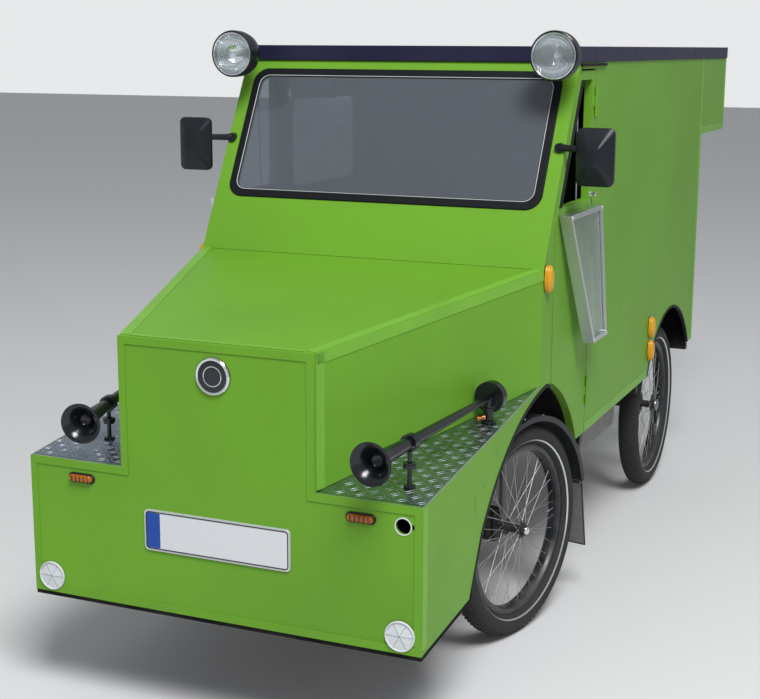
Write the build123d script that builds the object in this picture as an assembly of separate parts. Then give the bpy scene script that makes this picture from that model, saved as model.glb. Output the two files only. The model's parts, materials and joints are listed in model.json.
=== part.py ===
# Bicycle camper: a pedalled four-wheeler with a panelled cab and a living box behind it.
# Units are millimetres. X points to the vehicle's left, Y to the rear and Z up.
# Stations along Y count from the outer face of the front panel, and heights from a level that
# puts the axles at hub_height. At the end every piece is shifted along Y and lifted, so that the
# origin lies on the ground under the middle of the whole part and the tyres stand on Z = 0.
import os
from math import atan2, cos, radians, sin, sqrt

from build123d import *

# Body shell
half_width = 560
skin = 10
touch_gap = 0.3
overrun = 50
full_turn = 360
quarter_turn = 90
crease_station = 915
crease_height = 1100
screen_rise = 580
body_top = crease_height + screen_rise
body_bottom = 500
rear_wall_face = 3110
alcove_rear = 3600
alcove_height = 309
alcove_bottom = body_top - alcove_height
roof_thickness = 47
roof_front = 1220
roof_overhang = 5

# Nose: front panel, bonnet, decks and the box below them
nose_bottom = 285
nose_shoulder = 660
bonnet_front_half = 276
bonnet_front_top = 1006
bonnet_sheet = 8
deck_rise_share = 0.108
deck_sheet = 3
edge_angle_width = 30
edge_angle_thickness = 2.5
nose_floor_sheet = 12
nose_floor_end = 347
nose_floor_rise = 28
access_hole_radius = 20
access_hole_inset = 50
access_hole_place = (half_width - access_hole_inset, 608)

# Windscreen
screen_top_station = 1229
glass_side = 70
glass_half_width = half_width - glass_side
glass_low = 208
glass_high = 600
glass_thickness = 5
glass_corner = 30
seal_corner_share = 0.7
seal_width = 28
seal_thickness = 18
seal_proud = 4

# Doors, their windows and the flaps that hang from the sills
door_front = 1027
door_rear = 1407
door_head = 25
door_top = body_top - door_head
door_thickness = 25
door_front_gap = 12
door_rear_gap = 6
door_top_gap = 5
post_width = 24
post_depth = 30
window_head = 27
window_height = 366
window_top = door_top - window_head
window_sill = window_top - window_height
window_margin = 32
hinge_radius = 4.2
hinge_clearance = 0.3
hinge_pin_radius = 2.5
hinge_fit = 0.05
hinge_length = 90
hinge_barrels = 3
hinge_slit = 0.5
hinge_leaf_width = 26
hinge_leaf_thickness = 2
hinge_low, hinge_rise, hinge_drop = 640, 30, 68
hinge_heights = (hinge_low, crease_height + hinge_rise, window_top - hinge_drop)
sill_width = 20
flap_sill = window_sill - sill_width
flap_drop = 412
flap_front_top = 1040
flap_front_bottom = 1236
flap_rear = 1388
flap_depth = 38
flap_face = 15
flap_lug_width = 36
flap_slant_share = 0.6
flap_stand_off = 5
flap_swing_angle = radians(4)
flap_hinge_shares = (0.2, 0.8)
pane_thickness = 4
door_arch_gap = 15
door_inner_gap = 5
side_window_drop = 290
side_window_middle = (1790, body_top - side_window_drop)
side_window_size = (520, 300)
side_window_corner = 40
side_window_lap = 20
gutter_size = 8
gutter_drop = 4
gutter_span = (1236, 1521)

# Wheels and arches
wheel_radius = 326
hub_height = 303
tyre_half_width = 40
tyre_widest_share = 0.5
tread_half_width = 17
bead_radius = 254
rim_edge_radius = 259.5
rim_inner_radius = 238
rim_half_width = 20
rim_bed_half = 12
rim_bed_rise = 5
rim_wall = 2.6
spoke_size = 2.4
spoke_side_step = 1.8
spoke_pairs_per_side = 9
spoke_lag_share = 0.25
wheel_track_half = 479
stub_radius = 8
stub_end = 46
hub_half_length = 38
hub_radius = 17
hub_barrel_radius = 14
hub_cap_length = 10
hub_cap_hollow = 7
axle_fit = 0.05
rear_axle_station = 2663
rear_arch_radius = 430
rear_arch_centre_height = 273
arch_trim_width = 10
arch_trim_proud = 2
arch_liner = 4
footwell_half_width = 238

# Front suspension and steering
kingpin_half_track = 393
kingpin_station = 974
kingpin_offset = 88
kingpin_radius = 9
kingpin_tube_radius = 18
kingpin_tube_half = 40
knuckle_plate = 8
knuckle_half_width = 20
steer_arm_length = 110
steer_arm_width = 22
tie_rod_radius = 7
tie_pin_radius = 6
tie_eye_radius = 13
rest_steer_angle = -12.2
guard_radius = 348
guard_half_width = 54
guard_steps = 4
guard_sheet = 3
guard_lip = 14
guard_start_angle = -28
guard_end_angle = 77
mud_flap_length = 236
mud_flap_angle = 10
mud_flap_half_width = 43
stay_width = 14
stay_sheet = 4
kingpin_wall = 8
ear_gap = 1
saddle_half = 35
tie_eye_height = 16
tie_gap = 1
hub_flange_inset = 24
hub_flange = 4
front_flange_radius = 26
rear_flange_radius = 46
spoke_sweep_angle = 42

# Chassis
rail_inner = 140
rail_size = 40
rail_bottom = 330
rail_front = 20
rail_rear = 3085
beam_radius = 20
bearer_size = 30
cross_stations = (120, 620, 1240, 1760, 2300, 3040)
column_floor_gap = 6
floor_sheet = 12
floor_bottom = 490
cab_floor_front = 360
cab_floor_rear = 1400
store_setback = 200
store_length = 450
store_front = cab_floor_rear + store_setback
store_rear = store_front + store_length
bearer_setback = 16
bearer_behind_store = 130
bearer_stations = (cab_floor_rear + bearer_setback, store_rear + bearer_behind_store, 3070)
store_side = 60
store_half_width = half_width - store_side
wheel_box_inner = 422
wheel_box_half_length = 385
wheel_box_top = 718
wheel_box_sheet = 10

# Cab fittings
column_radius = 14
column_drop = 90
column_top = crease_height - column_drop
bar_radius = 11
bar_boss = 22
bar_reach = (270, 190)
bar_flat = 150
bar_bend = 60
grip_radius = 16
grip_length = 115
crank_station = 620
crank_height = 592
crank_length = 170
crank_angle = 20
crank_arm_gap = 8
crank_arm_thickness = 12
crank_arm_half = 12
crank_boss_radius = 16
pedal_boss_radius = 13
pedal_pin_radius = 6
spindle_radius = 9
shell_radius = 21
shell_half_length = 34
ring_radius = 92
ring_thickness = 4
pedal_size = (92, 62, 22)
seat_front = 1490
seat_depth = 440
seat_half_width = 230
seat_top = 735
cushion_thickness = 70
back_height = 520
back_angle = 14
bunk_gap = 150
bunk_front = seat_front + seat_depth + bunk_gap
bunk_top = 735
bunk_sheet = 15
mattress_thickness = 90
bunk_bearer = (300, 340)
seat_wall = 12
soft_gap = 0.5

# Lamps, mirrors, horns and small fittings
lamp_inset = 33
lamp_rise = 19
lamp_place = (half_width - lamp_inset, 1061, body_top + lamp_rise)
lamp_radius = 73
lens_radius = 62
lamp_depth = 105
lamp_neck_radius = 13
# share of the lamp's radius, share of its depth
lamp_bowl_shares = ((0.97, 0.45), (0.8, 0.75), (0.45, 1))
# share of the lens radius, share of the ring's depth
lens_dome_shares = ((0.7, 0.2), (1, 0.5))
mirror_reach = 102
mirror_drop = 266
mirror_place = (half_width + mirror_reach, 1022, body_top - mirror_drop)
mirror_size = (112, 168)
mirror_depth = 46
mirror_arm_radius = 7
mirror_arm_rise = 22
horn_mouth_radius = 53
horn_drum_radius = 43
horn_drum_length = 26
# radius, distance behind the mouth: the short bell that runs out into the tube
horn_bell = ((43, 12), (31, 27), (24, 48), (20, 85))
horn_throat = ((0, 50), (18, 42), (26, 26), (38, 10))
horn_front_radius = 15
horn_back_radius = 8
horn_collar_radius = 22
horn_collar_half = 11
marker_size = (80, 30)
marker_inset = 160
marker_place = (half_width - marker_inset, 614)
oval_length = 86
oval_width = 45
oval_proud = 24
oval_base_share = 0.6
oval_top_shares = (0.86, 0.72)
reflector_radius = 39
reflector_inset = 55
reflector_place = (half_width - reflector_inset, 331)
plate_size = (420, 110)
plate_height = 503
badge_radius = 48
badge_gap = 2
badge_height = bonnet_front_top - edge_angle_width - badge_radius - badge_gap
badge_thickness = 6
badge_edge_share = 0.6
badge_flat_share = 0.85
badge_middle_share = 0.8
lamp_ring_depth = 16
mirror_corner = 18
mirror_rim = 12
mirror_crown_share = 0.3
mirror_pad_share = 2
inner_mirror_drop = 90
inner_mirror = (-330, 0, body_top - inner_mirror_drop)
inner_mirror_reach = 55
inner_mirror_size = (150, 14, 60)
inner_stem_radius = 6
horn_wall = 2.5
horn_collar_share = 0.3
# share of the horn's length, radius of the rod, of the nut halfway up and of the foot
horn_stands = ((0.3, 4, 15, 14), (1, 12, 16, 20))
horn_foot_height = 5
horn_nut_half = 6
# inset from the side face, station and height of the mouth, then of the drum
horn_left = ((94, -97, 781), (45, 590, 793))
horn_right = ((175, -20, 767), (47, 600, 798))
marker_proud = 16
oval_drop = 29
oval_places = ((941, crease_height - oval_drop), (2300, 602), (2300, 691))
reflector_proud = 8
plate_corner = 12
plate_thickness = 4
rear_lamp_inset = 120
rear_lamp_place = (half_width - rear_lamp_inset, 620)
rear_lamp_size = (100, 60)
rear_lamp_corner = 25
rear_lamp_proud = 28

os.makedirs("parts", exist_ok=True)
pieces = {}

# Sizes that follow from the ones above
screen_slope = (screen_top_station - crease_station) / (body_top - crease_height)
screen_lean = atan2(screen_top_station - crease_station, body_top - crease_height)
screen_step = skin / cos(screen_lean)
floor_top = floor_bottom + floor_sheet
rail_top = rail_bottom + rail_size
post_rear = door_front - door_front_gap
side_front = door_rear + door_rear_gap
skin_inner = half_width - skin
door_inner = half_width - door_thickness
beam_height = hub_height
ground_drop = wheel_radius - hub_height
knuckle_face = kingpin_tube_radius + ear_gap + knuckle_plate + knuckle_plate / 2
hinge_station = (door_rear + side_front) / 2
hinge_offset = half_width + hinge_clearance + hinge_radius
sides = {"left": 1, "right": -1}


def screen_station(height):
    """Station of the windscreen panel's outer face at a height."""
    return crease_station + (height - crease_height) * screen_slope


def deck_height(station):
    """Height of the deck's upper face at a station."""
    return nose_shoulder + station * deck_rise_share


def outline(points):
    """A closed flat outline of straight lines."""
    return make_face(Polyline(*points, close=True))


def across(face, low, high):
    """Push an outline drawn in (station, height) from X = low to X = high."""
    return extrude(Plane.YZ.offset(low) * face, amount=high - low)


def along(face, low, high):
    """Push an outline drawn in (X, height) from station low to station high."""
    return extrude(Plane.XZ.offset(-high) * face, amount=high - low)


def upward(face, low, high):
    """Push an outline drawn in (X, station) from height low to height high."""
    return extrude(Plane.XY.offset(low) * face, amount=high - low)


def facing(x, y, z):
    """A plane that looks forward, for outlines drawn in (X, height) about a point."""
    return Plane(origin=(x, y, z), x_dir=(1, 0, 0), z_dir=(0, -1, 0))


def block(x, y, z):
    """A box between a (low, high) pair on each axis."""
    size = Box(x[1] - x[0], y[1] - y[0], z[1] - z[0])
    return Pos((x[0] + x[1]) / 2, (y[0] + y[1]) / 2, (z[0] + z[1]) / 2) * size


def rod(start, end, radius):
    """A round bar between two points."""
    line = Vector(*end) - Vector(*start)
    bar = Cylinder(radius, line.length, align=(Align.CENTER, Align.CENTER, Align.MIN))
    return Plane(origin=start, z_dir=line) * bar


def lathe(profile, base, direction):
    """Turn a (radius, distance) profile about a line from base."""
    turned = revolve(Plane.XZ * outline(profile), Axis.Z)
    return Plane(origin=base, z_dir=direction) * turned


def mirrored(shape):
    """The same piece on the other side."""
    return mirror(shape, Plane.YZ)


def on_side(shape, side):
    """A piece drawn on the left, put on the side that sign gives."""
    return shape if side > 0 else mirrored(shape)


def both(shape):
    """A pair of pieces, one on each side, that don't touch."""
    return Compound([shape, mirrored(shape)])


# Arches, drawn in (station, height)
arch_foot = (nose_floor_end, nose_bottom + nose_floor_rise)
arch_knee = (427, 462)
arch_shoulder = (700, 672)
arch_crown = (980, 742)
arch_haunch = (1170, 650)
arch_heel = (1300, body_bottom)
arch_low = hub_height / 2
arch_lead_share = 0.5


def front_arch(growth):
    """The opening for the front wheel, grown by a margin."""
    low_front = (arch_foot[0] - (arch_foot[1] - arch_low) * arch_lead_share, arch_low)
    low_rear = (arch_heel[0], arch_low)
    edges = [
        Line(low_front, arch_foot),
        Line(arch_foot, arch_knee),
        ThreePointArc(arch_knee, arch_shoulder, arch_crown),
        ThreePointArc(arch_crown, arch_haunch, arch_heel),
        Line(arch_heel, low_rear),
        Line(low_rear, low_front),
    ]
    face = make_face(edges)
    return offset(face, amount=growth, kind=Kind.INTERSECTION) if growth else face


def rear_arch(growth):
    """The round opening for the rear wheel, grown by a margin."""
    return Pos(rear_axle_station, rear_arch_centre_height) * Circle(rear_arch_radius + growth)


# Nose
def make_front_panel():
    half, narrow = half_width, bonnet_front_half
    shape = [(-half, nose_bottom), (half, nose_bottom), (half, nose_shoulder)]
    shape += [(narrow, nose_shoulder), (narrow, bonnet_front_top), (-narrow, bonnet_front_top)]
    shape += [(-narrow, nose_shoulder), (-half, nose_shoulder)]
    face = outline(shape)
    field = offset(face, amount=-edge_angle_width, kind=Kind.INTERSECTION)
    panel = along(face, 0, skin) + along(face - field, -edge_angle_thickness, 0)
    hole = rod((access_hole_place[0], -overrun, access_hole_place[1]),
               (access_hole_place[0], overrun, access_hole_place[1]), access_hole_radius)
    return panel - hole


def bonnet_plan(inset):
    """The bonnet seen from above, between the front panel and the crease."""
    front = bonnet_front_half - inset
    rear = half_width - inset
    return outline([(-front, skin), (front, skin), (rear, crease_station), (-rear, crease_station)])


def bonnet_side_view(drop, low_front, low_rear):
    """The space under the bonnet's top face, lowered by a drop, above a line."""
    return outline([
        (0, bonnet_front_top - drop), (crease_station, crease_height - drop),
        (crease_station, low_rear), (0, low_front),
    ])


def make_bonnet():
    low = (nose_shoulder, deck_height(crease_station))
    outer = upward(bonnet_plan(0), 0, body_top) & across(bonnet_side_view(0, *low), -half_width, half_width)
    inner_view = bonnet_side_view(bonnet_sheet, low[0] - overrun, low[1] - overrun)
    inner = upward(bonnet_plan(bonnet_sheet), 0, body_top) & across(inner_view, -half_width, half_width)
    return outer - inner


def make_decks():
    rear = crease_station
    view = outline([
        (skin, deck_height(skin) - deck_sheet), (rear, deck_height(rear) - deck_sheet),
        (rear, deck_height(rear)), (skin, deck_height(skin)),
    ])
    slope = (half_width - bonnet_front_half) / (crease_station - skin)
    gap = touch_gap * sqrt(1 + slope * slope)
    plan = outline([(bonnet_front_half + gap, skin), (half_width, skin), (half_width, crease_station - gap)])
    return both(across(view, 0, half_width) & upward(plan, 0, body_top))


def make_box_sides():
    rear = crease_station
    shape = outline([
        (skin, nose_bottom), (nose_floor_end, arch_foot[1]), (rear, arch_foot[1]),
        (rear, deck_height(rear) - deck_sheet), (skin, deck_height(skin) - deck_sheet),
    ])
    under = outline([(skin, 0), (nose_floor_end, 0), arch_foot, (skin, nose_bottom)])
    side = across(shape - front_arch(arch_trim_width) - under, skin_inner, half_width)
    return both(side)


def make_nose_floor():
    drop = nose_floor_sheet
    view = outline([
        (0, nose_bottom - drop), (skin, nose_bottom - drop), (arch_foot[0], arch_foot[1] - drop),
        arch_foot, (skin, nose_bottom), (0, nose_bottom),
    ])
    return across(view, -half_width, half_width)


# Cab
def post_face(rear_margin):
    """The strip between the windscreen panel and the door, seen from the side."""
    rear = post_rear - rear_margin
    knee = crease_height + (rear - screen_step - post_width - crease_station) / screen_slope
    top = body_top
    return outline([
        (crease_station, arch_crown[1] - overrun), (rear, arch_crown[1] - overrun), (rear, knee),
        (screen_station(top) + screen_step + post_width - rear_margin, top),
        (screen_station(top) + screen_step, top),
        (crease_station + screen_step, crease_height), (crease_station, crease_height),
    ])


def make_cab_posts():
    corner = across(post_face(0) - front_arch(arch_trim_width), skin_inner, half_width)
    above = block((half_width - post_depth, half_width), (crease_station, roof_front + overrun),
                  (crease_height, body_top))
    post = across(post_face(0), half_width - post_depth, half_width) & above
    return both(corner + post)


screen_plane = Plane(origin=(0, crease_station, crease_height), x_dir=(1, 0, 0),
                     z_dir=(0, -cos(screen_lean), sin(screen_lean)))
screen_length = (body_top - crease_height) / cos(screen_lean)


def screen_rectangle(margin):
    """A rounded rectangle around the windscreen glass, in the panel's own plane."""
    height = glass_high - glass_low + 2 * margin
    middle = (glass_high + glass_low) / 2
    corner = glass_corner + margin * seal_corner_share
    return Pos(0, middle) * RectangleRounded(2 * (glass_half_width + margin), height, corner)


def sloped(face, depth, proud):
    """Push an outline in the windscreen's plane, from proud of it to a depth behind it."""
    moved = screen_plane * Pos(0, 0, proud) * face
    return extrude(moved, amount=-(depth + proud), dir=screen_plane.z_dir)


def make_windscreen_panel():
    sheet = Pos(0, screen_length / 2) * Rectangle(2 * half_width, screen_length)
    panel = sloped(sheet - screen_rectangle(seal_width), skin, 0)
    level = block((-half_width, half_width), (0, rear_wall_face), (crease_height, body_top))
    return panel & level


def make_windscreen_seal():
    ring = screen_rectangle(seal_width) - screen_rectangle(0)
    return sloped(ring, seal_thickness - seal_proud, seal_proud)


def make_windscreen_glass():
    return sloped(screen_rectangle(0), glass_thickness, 0)


def door_shape(shrink):
    """The door's outline, seen from the side."""
    front = door_front + shrink
    lean_front = screen_step + post_width + door_front_gap + shrink
    top = door_top - shrink
    knee = crease_height + (front - lean_front - crease_station) / screen_slope
    return outline([
        (front, body_bottom), (door_rear - shrink, body_bottom), (door_rear - shrink, top),
        (screen_station(top) + lean_front, top), (front, knee),
    ])


def door_window():
    """The window opening: its front edge follows the windscreen post."""
    lean_front = screen_step + post_width + door_front_gap + window_margin
    return outline([
        (screen_station(window_sill) + lean_front, window_sill), (door_rear - window_margin, window_sill),
        (door_rear - window_margin, window_top), (screen_station(window_top) + lean_front, window_top),
    ])


def hinge_leaf(height, low, high, toward):
    """A leaf and its barrel, between two heights counted from the hinge's middle."""
    edge = hinge_station + toward * hinge_leaf_width
    leaf = block((half_width, half_width + hinge_leaf_thickness),
                 (min(edge, hinge_station), max(edge, hinge_station)), (height + low, height + high))
    start = (hinge_offset, hinge_station, height + low)
    return leaf + rod(start, (hinge_offset, hinge_station, height + high), hinge_radius)


def hinge_pin(height, radius):
    """The pin through a hinge, or its bore."""
    start = (hinge_offset, hinge_station, height - hinge_length / 2)
    return rod(start, (hinge_offset, hinge_station, height + hinge_length / 2), radius)


def fixed_hinge(height):
    """The outer barrels and the pin, on the side panel behind the door."""
    end = hinge_length / 2
    inner = end / hinge_barrels + hinge_slit
    leaves = hinge_leaf(height, -end, -inner, 1) + hinge_leaf(height, inner, end, 1)
    return leaves + hinge_pin(height, hinge_pin_radius)


def swinging_hinge(height):
    """The middle barrel, on the door."""
    reach = hinge_length / 2 / hinge_barrels
    return hinge_leaf(height, -reach, reach, -1) - hinge_pin(height, hinge_pin_radius + hinge_fit)


def make_door():
    leaf = across(door_shape(0) - front_arch(door_arch_gap) - door_window(), door_inner, half_width)
    for height in hinge_heights:
        leaf += swinging_hinge(height)
    return leaf


def flap_outline(inset):
    """The window flap as it hangs, measured down from the sill: the opening turned upside down."""
    return outline([
        (flap_front_top + inset, -inset), (flap_rear - inset, -inset),
        (flap_rear - inset, inset - flap_drop),
        (flap_front_bottom + inset * flap_slant_share, inset - flap_drop),
    ])


flap_plane = Plane(origin=(half_width + flap_stand_off, 0, flap_sill), x_dir=(0, 1, 0),
                   z_dir=(cos(flap_swing_angle), 0, sin(flap_swing_angle)))


def make_flap_frame():
    ring = flap_outline(0) - flap_outline(flap_face)
    frame = extrude(flap_plane * ring, amount=flap_depth, dir=flap_plane.z_dir)
    lugs = []
    for share in flap_hinge_shares:
        middle = flap_front_top + share * (flap_rear - flap_front_top)
        lugs.append(block((half_width, half_width + flap_stand_off + flap_face),
                          (middle - flap_lug_width / 2, middle + flap_lug_width / 2),
                          (flap_sill - flap_face / 2, flap_sill)))
    return frame + lugs[0] + lugs[1]


def make_flap_pane():
    start = flap_plane * Pos(0, 0, flap_depth - flap_face) * flap_outline(flap_face)
    return extrude(start, amount=pane_thickness, dir=flap_plane.z_dir)


# Living box
def side_outline():
    """The side panel, with the strip that runs over the door."""
    header_front = screen_station(body_top) + screen_step + post_width
    return outline([
        (side_front, body_bottom), (rear_wall_face, body_bottom), (rear_wall_face, body_top),
        (header_front, body_top), (header_front, door_top + door_top_gap),
        (side_front, door_top + door_top_gap),
    ])


def side_window_outline(growth):
    return Pos(side_window_middle[0], side_window_middle[1]) * RectangleRounded(
        side_window_size[0] + 2 * growth, side_window_size[1] + 2 * growth, side_window_corner + growth)


def make_side_panel(side):
    shape = side_outline() - rear_arch(arch_trim_width)
    if side < 0:
        shape -= side_window_outline(0)
    panel = across(shape, skin_inner, half_width)
    for height in hinge_heights:
        panel += fixed_hinge(height)
    return on_side(panel, side)


def make_side_window():
    pane = across(side_window_outline(side_window_lap), skin_inner - pane_thickness, skin_inner)
    return mirrored(pane)


def make_roof():
    half, rear = half_width + roof_overhang, alcove_rear + roof_overhang
    return block((-half, half), (roof_front, rear), (body_top, body_top + roof_thickness))


def make_rear_wall():
    return block((-skin_inner, skin_inner), (rear_wall_face - skin, rear_wall_face),
                 (floor_bottom, alcove_bottom + skin))


def make_alcove():
    outer = block((-half_width, half_width), (rear_wall_face, alcove_rear), (alcove_bottom, body_top))
    inner = block((-skin_inner, skin_inner), (rear_wall_face - overrun, alcove_rear - skin),
                  (alcove_bottom + skin, body_top + overrun))
    return outer - inner


def make_wheel_housings():
    """The liners over the front wheels and the boxes over the rear ones."""
    band = front_arch(arch_trim_width + touch_gap + arch_liner) - front_arch(arch_trim_width + touch_gap)
    behind_heel = arch_heel[0] + overrun
    above = outline([(arch_foot[0], body_bottom), (arch_foot[0], body_top), (behind_heel, body_top),
                     (behind_heel, floor_top), (arch_foot[0] + overrun, arch_foot[1])])
    liner = across(band & above, footwell_half_width, door_inner - door_inner_gap)
    ahead = outline([(arch_foot[0], 0), (post_rear, 0), (post_rear, body_top), (arch_foot[0], body_top)])
    liner += across(band & above & ahead, door_inner - door_inner_gap, skin_inner)
    wall = front_arch(arch_trim_width + touch_gap + arch_liner) & outline([
        (cab_floor_front, rail_top), (cab_floor_rear, rail_top), (cab_floor_rear, body_top),
        (cab_floor_front, body_top)])
    behind = outline([(arch_heel[0] - overrun, rail_top), (cab_floor_rear, rail_top),
                      (cab_floor_rear, floor_bottom), (arch_heel[0] - overrun, floor_bottom)])
    liner += across(wall + behind, footwell_half_width, footwell_half_width + arch_liner)
    sheet = wheel_box_sheet
    half = wheel_box_half_length
    box = block((wheel_box_inner, skin_inner), (rear_axle_station - half, rear_axle_station + half),
                (floor_bottom, wheel_box_top))
    hollow = block((wheel_box_inner + sheet, skin_inner + overrun),
                   (rear_axle_station - half + sheet, rear_axle_station + half - sheet),
                   (floor_bottom - overrun, wheel_box_top - sheet))
    rear = box - hollow
    return Compound([liner, mirrored(liner), rear, mirrored(rear)])


def make_edge_trims():
    """Rubber on the arches' edges, and the gutters over the doors."""
    half = (skin_inner - arch_trim_proud, half_width + arch_trim_proud)
    lip = front_arch(arch_trim_width) - front_arch(0)
    box_zone = outline([arch_foot, (post_rear, arch_foot[1]), (post_rear, body_top),
                        (arch_foot[0], body_top)])
    front = across(lip & box_zone, half_width - skin, half[1])
    rear_zone = outline([(0, body_bottom), (alcove_rear, body_bottom), (alcove_rear, body_top),
                         (0, body_top)])
    rear = across((rear_arch(arch_trim_width) - rear_arch(0)) & rear_zone, half_width - skin, half[1])
    gutter_top = body_top - gutter_drop
    gutter = block((half_width, half_width + gutter_size), gutter_span,
                   (gutter_top - gutter_size, gutter_top))
    return Compound([front, rear, gutter, mirrored(front), mirrored(rear), mirrored(gutter)])


# Underbody
def make_chassis_frame():
    inner, outer = rail_inner, rail_inner + rail_size
    frame = None
    for x in ((inner, outer), (-outer, -inner)):
        rail = block(x, (rail_front, rail_rear), (rail_bottom, rail_top))
        frame = rail if frame is None else frame + rail
    for station in cross_stations:
        frame += block((-inner, inner), (station - bearer_size / 2, station + bearer_size / 2),
                       (rail_bottom, rail_top))
    for station in bearer_stations:
        y = (station - bearer_size / 2, station + bearer_size / 2)
        frame += block((-skin_inner, skin_inner), y, (floor_bottom - bearer_size, floor_bottom))
        for x in ((inner, outer), (-outer, -inner)):
            frame += block(x, y, (rail_top, floor_bottom - bearer_size))
    return frame


def make_floor():
    foot = block((-footwell_half_width, footwell_half_width), (cab_floor_front, cab_floor_rear),
                 (rail_top, rail_top + floor_sheet))
    foot -= rod((0, kingpin_station, rail_bottom), (0, kingpin_station, floor_bottom),
                column_radius + column_floor_gap)
    riser = block((-footwell_half_width, footwell_half_width), (cab_floor_rear - floor_sheet, cab_floor_rear),
                  (rail_top + floor_sheet, floor_top))
    beside_door, rear = door_inner - door_inner_gap, rear_wall_face - skin
    deck = block((-beside_door, beside_door), (cab_floor_rear, rear), (floor_bottom, floor_top))
    shoulder_front = arch_heel[0] + arch_trim_width + arch_liner + 2 * touch_gap
    shoulder = block((footwell_half_width, beside_door), (shoulder_front, cab_floor_rear),
                     (floor_bottom, floor_top))
    half = wheel_box_half_length
    for side in sides.values():
        x = sorted((side * wheel_box_inner, side * half_width))
        deck -= block(x, (rear_axle_station - half, rear_axle_station + half),
                      (floor_bottom - overrun, floor_top + overrun))
        edge = sorted((side * beside_door, side * skin_inner))
        for span in ((side_front, rear_axle_station - half), (rear_axle_station + half, rear)):
            deck += block(edge, span, (floor_bottom, floor_top))
    return foot + riser + deck + shoulder + mirrored(shoulder)


def make_store_box():
    return block((-store_half_width, store_half_width), (store_front, store_rear), (rail_top, floor_bottom))


def kingpin_place(side):
    return (side * kingpin_half_track, kingpin_station, beam_height)


def make_front_axle():
    """The beam with a bored tube at each end for a kingpin and one in the middle for the steering column."""
    reach = kingpin_half_track
    beam = rod((-reach, kingpin_station, beam_height), (reach, kingpin_station, beam_height), beam_radius)
    places = [(-reach, kingpin_radius), (0, column_radius), (reach, kingpin_radius)]
    for x, radius in places:
        beam += rod((x, kingpin_station, beam_height - kingpin_tube_half),
                    (x, kingpin_station, beam_height + kingpin_tube_half), radius + kingpin_wall)
    for x, radius in places:
        beam -= rod((x, kingpin_station, 0), (x, kingpin_station, rail_top * 2), radius + axle_fit)
    for side in sides.values():
        saddle = sorted((side * rail_inner, side * (rail_inner + rail_size)))
        beam += block(saddle, (kingpin_station - saddle_half, kingpin_station + saddle_half),
                      (beam_height, rail_bottom))
    return beam


def make_rear_axle():
    """The fixed beam with a stub at each end."""
    plate = wheel_track_half - stub_end
    station = rear_axle_station
    beam = rod((-plate, station, beam_height), (plate, station, beam_height), beam_radius)
    stub = wheel_track_half + hub_half_length + hub_cap_length / 2
    beam += rod((-stub, station, beam_height), (stub, station, beam_height), stub_radius)
    for side in sides.values():
        saddle = sorted((side * rail_inner, side * (rail_inner + rail_size)))
        beam += block(saddle, (station - saddle_half, station + saddle_half), (beam_height, rail_bottom))
    return beam


def make_knuckle(side):
    """Ears on the kingpin, the stub axle, the steering arm and the stays of the mudguard."""
    gap = ear_gap
    top = kingpin_tube_half + gap
    half = knuckle_half_width
    plate_x = (knuckle_face - knuckle_plate, knuckle_face)
    pin = rod((0, 0, -top - knuckle_plate), (0, 0, top + knuckle_plate), kingpin_radius)
    body = pin
    for z in ((top, top + knuckle_plate), (-top - knuckle_plate, -top)):
        body += block((-half, plate_x[1]), (-half, half), z)
    body += block(plate_x, (-half, half), (-top, top))
    stub = kingpin_offset + hub_half_length + hub_cap_length / 2
    body += rod((plate_x[0], 0, 0), (stub, 0, 0), stub_radius)
    arm_z = (-top - knuckle_plate, -top)
    arm = block((-steer_arm_width / 2, steer_arm_width / 2), (half, steer_arm_length), arm_z)
    arm += rod((0, steer_arm_length, arm_z[0]), (0, steer_arm_length, arm_z[1]), steer_arm_width / 2)
    pin_low = arm_z[0] - tie_eye_height - 2 * tie_gap
    body += arm + rod((0, steer_arm_length, pin_low), (0, steer_arm_length, arm_z[1]), tie_pin_radius)
    return Pos(*kingpin_place(side)) * Rot(0, 0, rest_steer_angle) * on_side(body, side)


def guard_point(angle, radius):
    """A point on the mudguard, by its angle behind the top of the wheel."""
    return (radius * sin(radians(angle)), radius * cos(radians(angle)))


def make_mudguard(side):
    """A rolled strip over the wheel, its turned-down lips, the rubber flap and one flat stay."""
    band = guard_radius
    step = (guard_end_angle - guard_start_angle) / guard_steps
    sector = [(0, 0)]
    for k in range(guard_steps + 1):
        sector.append(guard_point(guard_start_angle + k * step, band + overrun))
    fan = outline(sector)
    middle = kingpin_offset
    inner, outer = middle - guard_half_width, middle + guard_half_width
    strip = across((Circle(band + guard_sheet) - Circle(band)) & fan, inner, outer)
    lips = (Circle(band + guard_sheet) - Circle(band - guard_lip)) & fan
    for low in (inner, outer - guard_sheet):
        strip += across(lips, low, low + guard_sheet)
    heel = guard_point(guard_end_angle, band)
    lean = radians(mud_flap_angle)
    drop = (heel[0] + mud_flap_length * sin(lean), heel[1] - mud_flap_length * cos(lean))
    thick = guard_sheet * 2
    top = heel[1] + guard_lip
    flap = outline([(heel[0], top), (heel[0] + thick, top), (drop[0] + thick, drop[1]), drop])
    strip += across(flap, middle - mud_flap_half_width, middle + mud_flap_half_width)
    stay_x = (inner + guard_sheet, inner + guard_sheet + stay_sheet)
    foot = kingpin_tube_half - stay_width
    strip += block(stay_x, (-stay_width / 2, stay_width / 2), (foot, band))
    strip += block((knuckle_face, stay_x[1]), (-stay_width / 2, stay_width / 2), (foot, foot + stay_width))
    return Pos(*kingpin_place(side)) * Rot(0, 0, rest_steer_angle) * on_side(strip, side)


def arm_tip(x):
    """Where a steering arm's pin stands when the wheels are at rest."""
    turn = radians(rest_steer_angle)
    return (x - steer_arm_length * sin(turn), kingpin_station + steer_arm_length * cos(turn))


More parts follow.
